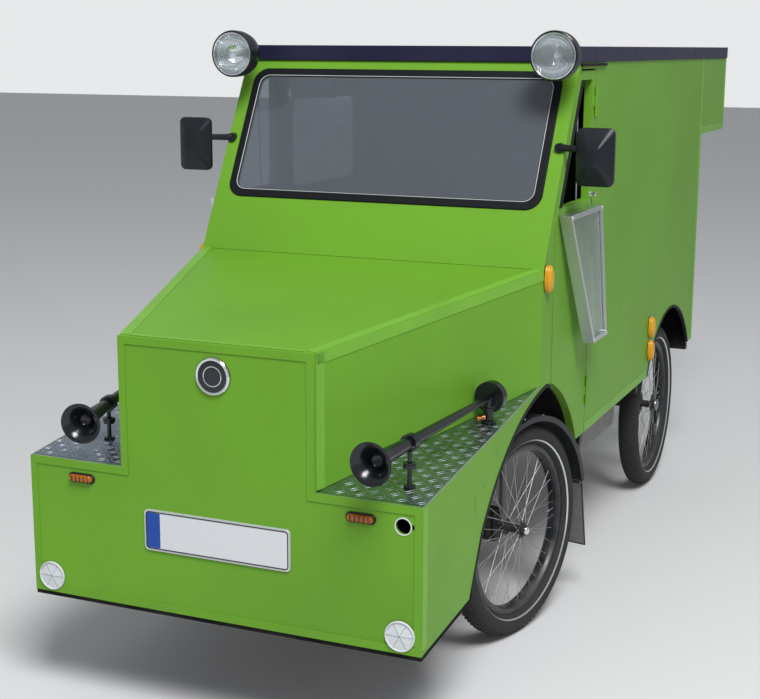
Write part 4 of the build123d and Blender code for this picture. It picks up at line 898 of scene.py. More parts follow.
# %% [markdown]
# ## Wheels
# Each wheel turns about its own axle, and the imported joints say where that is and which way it
# points. The tyres are turned from a rounded section with a ring of tread blocks on top. The
# blocks are a second tree: it sets copies of a small piece on a circle, each turned to
# face outwards. The same tree sets the spoke nipples into the rim.

# %% Ring of copies
ring_tree, given, result = growth_tree("ring_of_copies", [
    ("Count", INTEGER, 36), ("Radius", NUMBER, 0.3), ("Turn", NUMBER, 0.0), ("Lift", NUMBER, 0.0),
    ("Piece", OBJECT, None), ("Finish", MATERIAL, None)])
circle = add(ring_tree, "GeometryNodeMeshCircle", {"Vertices": given["Count"], "Radius": given["Radius"]})
spot = add(ring_tree, "GeometryNodeInputPosition").outputs[0]
xyz = add(ring_tree, "ShaderNodeSeparateXYZ", {0: spot}).outputs
angle = maths(ring_tree, "ARCTAN2", xyz[1], xyz[0])
spin = add(ring_tree, "ShaderNodeCombineXYZ", {2: angle}).outputs[0]
source = add(ring_tree, "GeometryNodeObjectInfo", {"Object": given["Piece"]})
copies = add(ring_tree, "GeometryNodeInstanceOnPoints", {
    "Points": circle.outputs[0], "Instance": source.outputs["Geometry"], "Rotation": spin})
real = add(ring_tree, "GeometryNodeRealizeInstances", {0: copies.outputs[0]})
turn = add(ring_tree, "ShaderNodeCombineXYZ", {2: given["Turn"]}).outputs[0]
lift = add(ring_tree, "ShaderNodeCombineXYZ", {2: given["Lift"]}).outputs[0]
moved = add(ring_tree, "GeometryNodeTransform", {"Geometry": real.outputs[0], "Rotation": turn,
                                                 "Translation": lift})
done = add(ring_tree, "GeometryNodeSetMaterial", {
    "Geometry": moved.outputs[0], "Material": given["Finish"]})
ring_tree.links.new(done.outputs[0], result[0])
print("ring of copies", len(ring_tree.nodes), "nodes")

# %% Small pieces that the rings repeat


def small_block(name, size, taper=0.8):
    """A block with its top a little smaller, from the middle of its base outwards along X."""
    x, y, z = (value * MM for value in size)
    points = [(sx, sy * y / 2 * k, sz * z / 2 * k) for sx, k in ((-x * 0.5, 1), (x * 0.5, taper))
              for sy, sz in ((-1, -1), (1, -1), (1, 1), (-1, 1))]
    faces = [(0, 1, 2, 3), (4, 5, 6, 7), (0, 1, 5, 4), (1, 2, 6, 5), (2, 3, 7, 6), (3, 0, 4, 7)]
    return linked(name, closed_mesh(name, points, faces, False))


def hidden_source(piece):
    """Keep a piece only as what a tree copies."""
    scene.collection.objects.unlink(piece)
    return piece


tread_block = hidden_source(small_block("tread_block", (2.4, 9.0, 6.6)))
shoulder_block = hidden_source(small_block("shoulder_block", (3.2, 8.4, 9.0)))
nipple = hidden_source(small_block("nipple", (4.4, 2.9, 2.9), 0.75))
print("pieces to repeat:", tread_block.name, shoulder_block.name, nipple.name)

# %% Tyres
joints = {joint["name"]: joint for joint in frame["joints"]}
BLOCK_COUNT = 90
# half of the tyre's section: radius, offset from the middle
tyre_half = [(255, 16.5), (259.5, 17.2), (262, 20.5), (267, 26.5), (274, 33), (282, 37.8), (291, 39.6),
             (300, 38.2), (308, 34), (314.5, 28), (319.5, 21), (322.4, 13.5), (323.8, 6)]
tyre_profile = tyre_half + [(324.2, 0)] + [(r, -h) for r, h in reversed(tyre_half)]
# joint, body, side, cad node
wheels = [("front_left_spin", "front_wheel_left", 1, "tyre_front_left"),
          ("front_right_spin", "front_wheel_right", -1, "tyre_front_right"),
          ("rear_left_spin", "rear_wheel_left", 1, "tyre_rear_left"),
          ("rear_right_spin", "rear_wheel_right", -1, "tyre_rear_right")]
for joint, body, side, node in wheels:
    axle = facing(joints[joint]["pos_m"], Vector(joints[joint]["axis"]) * side)
    parts = [turned(node + "_body", tyre_profile, axle, 96, closed=True)]
    # radius, share of a step that the ring is turned, lift, copied piece
    for radius, turn_share, lift, source in (
            (324.4, 0, -4.4, tread_block), (324.4, 0.5, 4.4, tread_block),
            (322.4, 0.25, -14.4, tread_block), (322.4, 0.75, 14.4, tread_block),
            (317.2, 0, -24.2, shoulder_block), (317.2, 0.5, 24.2, shoulder_block)):
        ring = grown("blocks", ring_tree, Count=BLOCK_COUNT, Radius=radius * MM,
                     Turn=2 * pi / BLOCK_COUNT * turn_share, Lift=lift * MM, Piece=source,
                     Finish=materials["tyre"])
        ring.data.transform(axle)
        parts.append(ring)
    settled(joined(node + "_treaded", parts), body, "tyre", [node])
    stripe = turned(node + "_stripe", [(272, 31.0), (275.8, 34.2), (275.4, 34.9), (271.6, 31.6)],
                    axle, 96, closed=True)
    settled(stripe, body, "bright_edge")

# %% [markdown]
# ### Rims, hubs and crossed spokes
# Each wheel has 36 spokes: on both sides of the hub nine pairs leave the flange together and lean
# apart to the rim, forwards and backwards, which is how a bicycle wheel carries the drive. The rim
# and the hub are turned. One pair of thin round wires is made, and the ring tree copies it.

# %% Rims, hubs and spokes
RIM_RADIUS, SPOKE_SWEEP, SPOKE_PAIRS, SPOKE_LAG = 240.5, 30, 9, 0.125
SPOKE_RADIUS, HOLE_INSET, CROSSING_GAP, FLANGE_OFFSET, RIM_OFFSET = 1.0, 2.4, 1.8, 26, 2.4
REAR_FLANGE, FRONT_FLANGE = 46, 26
rim_half = [(238, 11), (239, 12.6), (243, 19.2), (245.5, 20), (258.6, 20), (259.5, 19.4), (259.5, 17.6),
            (254, 17.4)]
rim_profile = rim_half + [(r, -h) for r, h in reversed(rim_half)]


def hub_profile(flange):
    """Barrel, two flanges and the shell's outer end, as a closed (radius, distance) section."""
    inward = [(8.2, -38), (15.5, -38), (17, -36.5), (17, -29), (flange - 2, -28), (flange, -26.6),
              (flange, -25)]
    barrel = [(flange - 2, -24), (15, -23), (14, -20), (14, 20), (15, 23), (flange - 2, 24), (flange, 25)]
    return inward + barrel + [(flange, 26.6), (flange - 2, 28), (17, 29), (17, 38), (14, 40), (8.2, 40)]


def wires(name, ends, radius, sides=8):
    """Straight round wires between pairs of points, all in mm."""
    points, faces = [], []
    for start, end in ends:
        start, end = Vector(start) * MM, Vector(end) * MM
        aim = (end - start).to_track_quat("Z", "Y").to_matrix()
        base = len(points)
        angles = [2 * pi * k / sides for k in range(sides)]
        circle = [aim @ Vector((radius * MM * cos(angle), radius * MM * sin(angle), 0)) for angle in angles]
        for centre in (start, end):
            points += [centre + corner for corner in circle]
        faces += [[base + k, base + (k + 1) % sides, base + sides + (k + 1) % sides, base + sides + k]
                  for k in range(sides)]
        faces += [[base + k for k in range(sides)], [base + sides + k for k in range(sides)]]
    return linked(name, closed_mesh(name, points, faces))


def spoke_pair(flange, face):
    """Two spokes that leave the flange at angle 0, placed for a ring of the flange's radius."""
    foot = flange - HOLE_INSET
    ends = []
    for lean in (-1, 1):
        sweep, aside = radians(lean * SPOKE_SWEEP), lean * CROSSING_GAP
        start = (0, 0, face * (FLANGE_OFFSET + aside))
        rim_end = (RIM_RADIUS * cos(sweep) - foot, RIM_RADIUS * sin(sweep), face * RIM_OFFSET + aside)
        ends.append((start, rim_end))
    return hidden_source(wires("spoke_pair", ends, SPOKE_RADIUS))


for joint, body, side, node in wheels:
    axle = facing(joints[joint]["pos_m"], Vector(joints[joint]["axis"]) * side)
    flange = REAR_FLANGE if body.startswith("rear") else FRONT_FLANGE
    wheel = turned(node + "_rim", rim_profile, axle, 96, closed=True)
    settled(wheel, body, "rim_black", [node.replace("tyre", "wheel")])
    hub = turned(node + "_hub", hub_profile(flange), axle, 48, closed=True)
    settled(hub, body, "black_steel")
    rings = []
    for face in (-1, 1):
        ring = grown(node + "_spokes", ring_tree, Count=SPOKE_PAIRS, Radius=(flange - HOLE_INSET) * MM,
                     Turn=face * SPOKE_LAG * 2 * pi / SPOKE_PAIRS, Piece=spoke_pair(flange, face),
                     Finish=materials["spoke_steel"])
        ring.data.transform(axle)
        rings.append(ring)
    settled(joined(node + "_spokes", rings), body, "spoke_steel")

# %% [markdown]
# ### Spoke nipples, valve and hub caps
# The spokes end in small nipples in the rim. They are worn bright, so they show as a ring of
# dots. The front hubs carry a domed silver cap, and the wider rear hubs a broad, dull one.

# %% Nipples, valves and caps
NIPPLE_RADIUS, VALVE_RADIUS, REAR_SPREAD = 237.2, 237.5, 1.85
nipple_count = 4 * SPOKE_PAIRS
valve_stem = [(0, 0), (2.2, 0), (2.2, 26), (3.4, 27), (3.4, 38), (2.6, 40), (0, 40)]
dome = [(0, 49.6), (5, 49.2), (9.5, 47.6), (12.6, 44.2), (13.2, 40), (13.2, 38.4), (0, 38.4)]
for joint, body, side, node in wheels:
    axle = facing(joints[joint]["pos_m"], Vector(joints[joint]["axis"]) * side)
    nipples = grown(node + "_nipples", ring_tree, Count=nipple_count, Radius=NIPPLE_RADIUS * MM,
                    Turn=pi / nipple_count, Piece=nipple, Finish=materials["spoke_steel"])
    nipples.data.transform(axle)
    settled(nipples, body, "spoke_steel")
    inward = Matrix.Translation((VALVE_RADIUS * MM, 0, 0)) @ Matrix.Rotation(radians(-90), 4, "Y")
    valve = turned(node + "_valve", valve_stem, axle @ inward, 16)
    settled(valve, body, "spoke_steel")
    spread, finish = (REAR_SPREAD, "steel") if body.startswith("rear") else (1, "chrome")
    cap = turned(node + "_cap", [(radius * spread, distance) for radius, distance in dome], axle, 32)
    settled(cap, body, finish)

# %% [markdown]
# ## Roof lamps
# Each lamp is a black bowl, a bright rim, a ribbed lens and a mirror behind it. The CAD has them
# as plain solids. Here the bowl becomes a thin shell, so that the lens shows the mirror's depth.

# %% Roof lamps
ring_low, ring_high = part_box("roof_lamp_rings")
LAMP_RADIUS = 73
lamp_x = ring_high.x / MM - LAMP_RADIUS
lamp_centre_z = (ring_low.z + ring_high.z) / 2
bowl_length = (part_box("roof_lamp_bowls")[1].y - ring_low.y) / MM
rim = [(62.4, 2.6), (63.2, 1.0), (64.6, 0.3), (66.4, 0.8), (67.2, 3.0), (66.6, 8), (62.4, 10)]
outer_rim = [(66.8, 3.4), (67.6, 1.4), (69.4, 0.6), (71.6, 1.8), (72.8, 6), (72.8, 11.5), (70.5, 15.6),
             (66.4, 16), (66.2, 8)]
shell = [(66, 14), (71.6, 15), (72.6, 18), (71.5, 42), (66, 66), (54, 86), (36, 98), (20, 104), (14, 108),
         (13, bowl_length), (0, bowl_length), (0, bowl_length - 8), (8, 104), (33, 94), (51, 82), (62.5, 63),
         (67.5, 41), (68.5, 19)]
mirror_cup = [(62.4, 13.5), (58, 26), (50, 42), (38, 56), (24, 65), (10, 69), (0, 69.6), (0, 71.6), (12, 71),
              (26, 67), (40, 58), (52, 44), (60, 27), (62.9, 15)]
lens_dome = [(0, 0.9), (20, 1.6), (38, 3.4), (50, 5.4), (58, 7.4), (62.2, 9.2), (62.2, 11.8), (56, 10.2),
             (46, 7.6), (32, 5.0), (16, 3.6), (0, 3.2)]
bulb = [(0, 30), (6, 31), (9.5, 36), (10, 44), (8, 52), (7, 69), (0, 69)]
# label, profile, material, slot, replaced node
lamp_rows = [
    ("lamp_rims", rim, "chrome", "chrome", "roof_lamp_rings"),
    ("lamp_outer_rims", outer_rim, "black_gloss", "black_plastic", None),
    ("lamp_shells", shell, "black_plastic", "black_plastic", "roof_lamp_bowls"),
    ("lamp_lens_domes", lens_dome, "lamp_glass", "lamp_glass", "roof_lamp_lenses"),
    ("lamp_mirrors", mirror_cup, "chrome", "chrome", None),
    ("lamp_bulbs", bulb, "plate_white", "plate_white", None),
]
for label, profile, material, slot, node in lamp_rows:
    pair = []
    for side in (1, -1):
        spot = facing(Vector((side * lamp_x * MM, ring_low.y, lamp_centre_z)), BACK)
        pair.append(turned(label, profile, spot, 72, closed=label.endswith("rims")))
    settled(joined(label + "_pair", pair), "root", material, [node] if node else ())
print("lamps at x", round(lamp_x, 1), "z", round(lamp_centre_z, 4))

# %% [markdown]
# ## Badge, plate and windscreen bead
# The badge is a plain dark disc in a bright ring. The number plate stays blank: a white field, a
# thin black border pressed up from it and a plain blue band at one end. A bead in flat white runs
# round the windscreen between the rubber and the glass: a painted highlight along the glass edge.

# %% Badge, plate and bead
badge_low, badge_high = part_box("bonnet_badge")
badge_middle = (badge_low + badge_high) / 2
badge_face = facing(Vector((badge_middle.x, badge_high.y, badge_middle.z)), AHEAD)
badge_ring = turned("badge_ring", [(40, 2), (40.6, 6.6), (43, 7.8), (46, 7.4), (48, 5), (48, 1)],
                    badge_face, 72, closed=True)
inner_ring = turned("badge_inner_ring", [(23.5, 3), (23.8, 6.4), (25, 7), (26.2, 6.4), (26.5, 3)],
                    badge_face, 64, closed=True)
settled(joined("badge_rings", [badge_ring, inner_ring]), "root", "chrome")

plate_low, plate_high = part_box("number_plate")
plate_size = (plate_high - plate_low) / MM
plate_face = facing((plate_low + plate_high) / 2, AHEAD)
plate_face.translation.y = plate_low.y
BORDER_MARGIN, BAND_MARGIN, BAND_PLACE, BAND_WIDTH = 9, 16, 27, 40
border = framed("plate_border", plate_size.x - BORDER_MARGIN, plate_size.z - BORDER_MARGIN, 9,
                [(0, -0.5), (0.4, 0.9), (2.8, 0.9), (3.2, -0.5)], plate_face)
settled(border, "root", "black_plastic")
edge = framed("plate_edge", plate_size.x, plate_size.z, 12,
              [(0.1, -0.5), (0.6, 0.6), (2.6, 0.6), (3.2, -0.5)], plate_face)
settled(edge, "root", "bright_edge")
band_x = plate_low.x + BAND_PLACE * MM
band = plaque("plate_band", BAND_WIDTH, plate_size.z - BAND_MARGIN, 4, [(0, -0.4), (0.3, 0.35)],
              facing(Vector((band_x, plate_low.y, (plate_low.z + plate_high.z) / 2)), AHEAD))
settled(band, "root", "plate_blue")

glass_low, glass_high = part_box("windscreen_glass")
GLASS_WIDTH, GLASS_HEIGHT, GLASS_CORNER, GLASS_MIDDLE, BEAD_MARGIN = 980, 392, 34, 404, 4
screen_run, screen_rise = HEADER_STATION - CREASE_STATION, HEADER_HEIGHT - CREASE_HEIGHT
screen_lean, screen_slope = atan2(screen_run, screen_rise), screen_run / screen_rise
glass_up = Vector((0, sin(screen_lean), cos(screen_lean)))
glass_out = Vector((0, -cos(screen_lean), sin(screen_lean)))
glass_middle = at(0, CREASE_STATION, CREASE_HEIGHT) + glass_up * GLASS_MIDDLE * MM
screen_face = Matrix.Translation(glass_middle) @ Matrix((
    (1, 0, 0), (0, glass_up.y, glass_out.y), (0, glass_up.z, glass_out.z))).to_4x4()
# The bead's flat white, in place of bright metal, is a painted highlight along the windscreen's edge.
bead = framed("screen_bead", GLASS_WIDTH + 2 * BEAD_MARGIN, GLASS_HEIGHT + 2 * BEAD_MARGIN, GLASS_CORNER,
              [(0, 3.8), (0.6, 4.9), (1.6, 4.9), (2.2, 3.8)], screen_face)
settled(bead, "root", "plate_white")
print("windscreen", round(glass_high.x - glass_low.x, 3), "m wide, leans",
      round(screen_lean * 180 / pi, 1), "degrees")

# %% [markdown]
# ## Markers and reflectors
# The front markers are small lamps in black holders: a stadium-shaped plate, a rounded lens and
# dark ribs that part its cells. The side markers are turned domes, stretched to ovals. The white
# reflectors are discs with six pressed facets in a rim: flat facets about a raised middle.

# %% Amber markers and side ovals
lamp_parts = {"holder": [], "lens": []}
ovals = []
MARKER_X, MARKER_HEIGHT, MARKER_RIBS, RIB_PITCH = 400, 615, 5, 12
HOLDER_ROWS, LENS_ROWS = [(0, 0), (0, 2.5), (1.5, 4), (4, 4)], [(0, 2), (0, 9), (2.5, 12), (6, 12.6)]
OVAL_WIDTH, OVAL_HEIGHT = 45, 86
oval_plate = [(0, 0), (21.5, 0), (21.5, 2), (19.5, 3.5), (0, 3.5)]
oval_dome = [(0, 2), (21, 2), (21, 12), (19, 17.6), (14.4, 21.4), (8, 23.2), (0, 23.6)]
# station, height
oval_places = [(941, 1071), (2300, 602), (2300, 691)]
for side in (1, -1):
    front_spot = facing(at(side * MARKER_X, 0, MARKER_HEIGHT), AHEAD)
    lamp_parts["holder"].append(plaque("marker_holder", 80, 27, 13, HOLDER_ROWS, front_spot))
    lamp_parts["lens"].append(plaque("marker_lens", 70, 18, 9, LENS_ROWS, front_spot))
    for k in range(MARKER_RIBS):
        rib = front_spot @ Matrix.Translation(((k - (MARKER_RIBS - 1) / 2) * RIB_PITCH * MM, 0, 0))
        lamp_parts["holder"].append(plaque("marker_rib", 2.2, 14, 1, [(0, 6), (0, 12.9)], rib))
    for station, height in oval_places:
        spot = facing(at(side * HALF_WIDTH, station, height), (side, 0, 0))
        tall = spot @ Matrix.Diagonal((1, OVAL_HEIGHT / OVAL_WIDTH, 1, 1))
        lamp_parts["holder"].append(turned("oval_holder", oval_plate, tall, 40))
        ovals.append(turned("oval_lens", oval_dome, tall, 40))
print("front markers", len(lamp_parts["lens"]), "side markers", len(ovals))
settled(joined("marker_lenses", lamp_parts["lens"]), "root", "amber_marker", ["amber_lamps"])
settled(joined("oval_lenses", ovals), "root", "amber_lens")
settled(joined("marker_holders", lamp_parts["holder"]), "root", "black_plastic")


# %% Reflectors with six facets
def faceted_disc(name, radius, rise, slope, place, sectors=6, steps=6):
    """A disc whose sectors are flat facets that fall from the middle towards the rim."""
    points, faces = [place @ Vector((0, 0, rise * MM))], []
    total = sectors * steps
    circle = [(radius * cos(2 * pi * k / total) * MM, radius * sin(2 * pi * k / total) * MM)
              for k in range(total)]
    for k, (x, y) in enumerate(circle):
        middle = (k // steps + 0.5) * 2 * pi / sectors
        fall = slope * radius * cos(2 * pi * k / total - middle)
        points.append(place @ Vector((x, y, (rise - fall) * MM)))
    points += [place @ Vector((x, y, 0)) for x, y in circle]
    for sector in range(sectors):
        faces.append([0] + [1 + (sector * steps + k) % total for k in range(steps + 1)])
    faces += [[1 + k, 1 + total + k, 1 + total + (k + 1) % total, 1 + (k + 1) % total]
              for k in range(total)]
    faces.append([1 + total + k for k in range(total)])
    return linked(name, closed_mesh(name, points, faces, False))


REFLECTOR_X, REFLECTOR_PROUD, REFLECTOR_HEIGHT, FACETS, SEAM_LENGTH = 505, 2.4, 331, 6, 36
rim_ring = [(36, 0), (36, 5.0), (37.4, 5.6), (39, 4.6), (39, 0)]
discs, rims, seams = [], [], []
for side in (1, -1):
    spot = facing(at(side * REFLECTOR_X, -REFLECTOR_PROUD, REFLECTOR_HEIGHT), AHEAD)
    discs.append(faceted_disc("reflector_face", 36.5, 5.4, 0.11, spot, FACETS))
    for k in range(FACETS):
        angle = 2 * pi / FACETS * k
        seams.append(((0, 0, 5.7), (SEAM_LENGTH * cos(angle), SEAM_LENGTH * sin(angle), 2.3), spot))
    rims.append(turned("reflector_rim", rim_ring, spot, 64, closed=True))
face = joined("reflector_faces", discs)
face.data.polygons.foreach_set("use_smooth", [False] * len(face.data.polygons))
settled(face, "root", "white_reflector", ["front_reflectors"])
settled(joined("reflector_rims", rims), "root", "plate_white")
seam_lines = []
for start, end, spot in seams:
    line = wires("reflector_seam", [(start, end)], 0.35, 6)
    line.data.transform(spot)
    seam_lines.append(line)
settled(joined("reflector_seams", seam_lines), "root", "steel")
print("reflector facets", len(face.data.polygons))

# %% [markdown]
# ## Bright edges
# Thin bare strips finish the decks' free edges and the roof board's upper edge, and a pale ring
# lines the access hole. They are narrow, but they catch the light and draw the body's lines.

# %% Bright edges
strips = []
deck_up = Vector((0, -DECK_RISE, 1)).normalized()
ROOF_HALF, ROOF_FRONT, ROOF_REAR = 565, 1220, 3604
# name, start (x, station, height), end, inward (1: to the middle), upward, width, thickness
strip_rows = [
    ("deck_edge", (HALF_WIDTH, 4, 660.4), (HALF_WIDTH, 908, 758), 1, deck_up, 5, 1.0),
    ("deck_front", (278, 1, 660.1), (HALF_WIDTH, 1, 660.1), 0, UP, 4, 1.0),
    ("roof_edge", (ROOF_HALF, ROOF_FRONT + 2, ROOF_TOP), (ROOF_HALF, ROOF_REAR, ROOF_TOP), 1, UP, 4, 0.7),
]
for side in (1, -1):
    for name, start, end, to_middle, up, width, thickness in strip_rows:
        ends = [at(side * x, station, height) for x, station, height in (start, end)]
        strips.append(bar(name, *ends, (-side, 0, 0) if to_middle else BACK, up, width, thickness))
strips.append(bar("roof_front", at(-ROOF_HALF, ROOF_FRONT, ROOF_TOP), at(ROOF_HALF, ROOF_FRONT, ROOF_TOP),
                  BACK, UP, 4, 0.7))
print("bright strips", len(strips))
settled(joined("edge_strips", strips), "root", "bright_edge")
HOLE_X, HOLE_HEIGHT = 510, 608
hole_ring = turned("hole_ring", [(19.6, -0.5), (19.6, 1.2), (20.6, 1.8), (22.4, 1.2), (22.8, -0.5)],
                   facing(at(HOLE_X, 0, HOLE_HEIGHT), AHEAD), 48, closed=True)
settled(hole_ring, "root", "plate_white")

# %% [markdown]
# ## Horns and mirror arms
# The trumpets are polished black plastic with a rolled rim, and a copper pipe fitting sits by
# one drum. Each stands on a turned foot with a collar. The mirror arms are thicker than their
# inner rod, because a rubber sleeve covers them.

# %% Horn rims, pipe fitting and mirror sleeves
BEAD_RADIUS, BEAD_PLACE, BEAD_THICK, BEAD_SIDES = 52.4, 2.1, 1.9, 10
bead_profile = [(BEAD_RADIUS + BEAD_THICK * cos(2 * pi * k / BEAD_SIDES),
                 BEAD_PLACE + BEAD_THICK * sin(2 * pi * k / BEAD_SIDES)) for k in range(BEAD_SIDES)]
# mouth (x, station, height), drum
horn_ends = (((466, -97, 781), (515, 590, 793)), ((-385, -20, 767), (-513, 600, 798)))
beads = []
for mouth, drum in horn_ends:
    run = at(*drum) - at(*mouth)
    beads.append(turned("horn_bead", bead_profile, facing(at(*mouth), run), 64, closed=True))
settled(joined("horn_beads", beads), "root", "black_gloss")
pipe_profile = [(0, 0), (7, 0), (7, 9), (5.2, 10), (5.2, 16), (8, 17), (8, 24), (6, 25.5), (0, 25.5)]
pipe = turned("pipe_fitting", pipe_profile, facing(at(510, 574, 741), (-0.75, -0.65, -0.1)), 20)
settled(pipe, "root", "copper_fitting")
ARM_FOOT, ARM_TIP = (548, 1092, 1436), (655, 1054, 1436)
sleeves = []
for side in (1, -1):
    start, end = (at(side * x, station, height) for x, station, height in (ARM_FOOT, ARM_TIP))
    length = (end - start).length / MM
    sleeve = [(0, 0), (12, 0), (12.5, 3), (10.5, 12), (8.6, length - 20), (9.5, length - 4), (0, length)]
    sleeves.append(turned("arm_sleeve", sleeve, facing(start, end - start), 24))
settled(joined("arm_sleeves", sleeves), "root", "black_plastic")
STAND_SHARE, STAND_LIFT = 0.3, 0.5
stand_profile = [(0, 0), (15, 0), (15, 4), (6.2, 6), (5.6, 10), (5.6, 46), (9, 48), (17, 49), (17, 58),
                 (9, 59), (5.6, 61), (5.6, 90), (0, 90)]
stands = []
for mouth, drum in horn_ends:
    place = Vector(mouth) + (Vector(drum) - Vector(mouth)) * STAND_SHARE
    foot = at(place.x, place.y, DECK_HEIGHT + STAND_LIFT + place.y * DECK_RISE)
    stands.append(turned("horn_stand", stand_profile, facing(foot, UP), 24))
print("horn stands", len(stands), "mirror sleeves", round(length, 1), "mm long")
settled(joined("horn_stands", stands), "root", "black_gloss")

# %% [markdown]
# ## Doors
# The front edge of each door's window frame is covered by a black strip in the rubber finish, as
# wide as the frame: painted shade of the gap between the windscreen post and the door. A small
# bright latch sits at the sill's rear end and a thin bright line runs down inside the window. All
# three ride on the door.

# %% Door strips and latches
STRIP_LOW, STRIP_HIGH, STRIP_SETBACK, STRIP_WIDTH = 1262, 1628, 48.4, 31
LATCH_STATION, LATCH_HEIGHT = 1391, 1276
latch_profile = [(0, 0), (9, 0), (9, 3), (5, 4.5), (5, 11), (8.5, 13), (8.5, 17), (6, 19), (0, 19)]
edge_start = CREASE_STATION + (STRIP_LOW - CREASE_HEIGHT) * screen_slope + STRIP_SETBACK
edge_end = edge_start + (STRIP_HIGH - STRIP_LOW) * screen_slope
# side, body, label
doors = [(1, "door_left", "left"), (-1, "door_right", "right")]
for side, body, label in doors:
    ends = at(side * HALF_WIDTH, edge_start, STRIP_LOW), at(side * HALF_WIDTH, edge_end, STRIP_HIGH)
    # The black strip is painted shade of the gap between the windscreen post and the door.
    strip = bar("door_strip_" + label, *ends, BACK, (side, 0, 0), STRIP_WIDTH, 1.2)
    settled(strip, body, "black_rubber")
    latch = turned("latch_" + label, latch_profile,
                   facing(at(side * HALF_WIDTH, LATCH_STATION, LATCH_HEIGHT), (side, 0, 0)), 24)
    settled(latch, body, "chrome")
    lining = wires("lining_" + label, [((0, 0, 0), (0, 13, -318))], 2.2)
    lining.data.transform(Matrix.Translation(at(side * 545, 1270, 1582)))
    settled(lining, body, "bright_rib")
print("door strips from station", round(edge_start, 1), "to", round(edge_end, 1))

# %% [markdown]
# ## Window flaps
# Each flap is a frame of aluminium channel. A screw sits in every corner, a bright stop bar runs
# down behind its rear upright, and the frame hangs outwards by four degrees.

# %% Screws and stop bars on the flaps
FLAP_SWING, FLAP_TOP, FLAP_GAP, FLAP_DEPTH = radians(4), 1242, 5, 38
STOP_STATION, STOP_DROP, STOP_BEHIND, STOP_LENGTH = 1362, 20, 14, 372
screw_profile = [(0, 2.6), (2, 2.5), (4.2, 1.6), (4.8, 0), (4.8, -0.5), (0, -0.5)]
# station, distance below the hinge
screw_places = [(1052, 8), (1381, 8), (1381, 404), (1240, 404)]
for side, body, label in doors:
    hang = Vector((side * sin(FLAP_SWING), 0, -cos(FLAP_SWING)))
    out = Vector((side * cos(FLAP_SWING), 0, sin(FLAP_SWING)))
    face = at(side * (HALF_WIDTH + FLAP_GAP), 0, FLAP_TOP) + out * FLAP_DEPTH * MM
    fittings = []
    for station, drop in screw_places:
        spot = face + Vector((0, station * MM, 0)) + hang * drop * MM
        fittings.append(turned("screw", screw_profile, facing(spot, out), 16))
    top = face + Vector((0, STOP_STATION * MM, 0)) + hang * STOP_DROP * MM - out * STOP_BEHIND * MM
    fittings.append(bar("stop_bar", top, top + hang * STOP_LENGTH * MM, BACK, out, 5, 6))
    print("flap", label, "fittings", len(fittings))
    settled(joined("flap_fittings_" + label, fittings), body, "bright_edge")

# %% [markdown]
# ## Rivets, mud flaps and scuffs
# The mudguards are riveted with small domes along both edges, and the flap below each one is worn
# pale and held by a bright clamp. Stones and shoes have left short black marks beside the front
# arch: hair-thin slivers that lie on the paint.

# %% Rivets and flap faces on the mudguards
GUARD_RADIUS, HEEL_RADIUS, KINGPIN_OFFSET = 351, 348, 88
GUARD_END, MUD_FLAP_TILT, REST_STEER = radians(77), radians(10), radians(-12.2)
MUD_FLAP_WIDTH, MUD_FLAP_THICK = 82, 6.1
rivet_profile = [(0, 2.0), (2.4, 1.7), (4, 0.8), (4.6, -0.4), (0, -0.4)]
for side, label in ((1, "left"), (-1, "right")):
    pivot = Vector(joints["steer_" + label]["pos_m"])
    guard_place = Matrix.Translation(pivot) @ Matrix.Rotation(REST_STEER, 4, "Z")
    rivets = []
    for angle in (-22, -4, 14, 32, 50, 66):
        for across in (-40, 40):
            ray = Vector((0, sin(radians(angle)), cos(radians(angle))))
            spot = Vector((side * (KINGPIN_OFFSET + across), 0, 0)) * MM + ray * GUARD_RADIUS * MM
            rivets.append(turned("rivet", rivet_profile, guard_place @ facing(spot, ray), 12))
    print("rivets", label, len(rivets))
    settled(joined("guard_rivets_" + label, rivets), "knuckle_" + label, "bright_edge")
    heel = Vector((side * (KINGPIN_OFFSET - MUD_FLAP_WIDTH / 2), HEEL_RADIUS * sin(GUARD_END),
                   HEEL_RADIUS * cos(GUARD_END))) * MM
    down = Vector((0, sin(MUD_FLAP_TILT), -cos(MUD_FLAP_TILT)))
    ahead = Vector((0, -cos(MUD_FLAP_TILT), -sin(MUD_FLAP_TILT)))
    across = (side, 0, 0)
    sheets = []
    for lift, way in ((0, ahead), (-MUD_FLAP_THICK, -ahead)):
        start = heel + ahead * lift * MM
        sheets.append(bar("flap_sheet", start + down * 0.004, start + down * 0.231, across, way,
                          MUD_FLAP_WIDTH, 0.5))
    clamp = bar("flap_clamp", heel + down * 0.006, heel + down * 0.016, across, ahead, MUD_FLAP_WIDTH, 1.6)
    for sheet in sheets + [clamp]:
        sheet.data.transform(guard_place)
    settled(joined("flap_faces_" + label, sheets), "knuckle_" + label, "flap_grey")
    settled(clamp, "knuckle_" + label, "bare_aluminium")

# %% Scuffs
scuffs, scuff_way = [], Vector((0, 0.10, 0.995))
# station, height, length
scuff_rows = [(366, 546, 26), (372, 520, 16), (361, 572, 12), (434, 582, 14), (537, 650, 10)]
for station, height, length in scuff_rows:
    start = at(HALF_WIDTH, station, height)
    scuffs.append(bar("scuff", start, start + scuff_way * length * MM, BACK, OUT, 1.8, 0.15))
print("scuffs", len(scuffs))
settled(joined("scuff_marks", scuffs), "root", "black_rubber")

# %% [markdown]
# ## Things that are stuffed
# Seat, back rest and mattress are foam in cloth. Each starts as a slightly smaller block, is
# remeshed finely and blown up a little by a cloth simulation with pressure, the way a cover is
# stretched over foam. How far a point may move is capped, so that a pad stays inside its solid.

# %% Padded pieces
CLOTH_FRAMES = 20


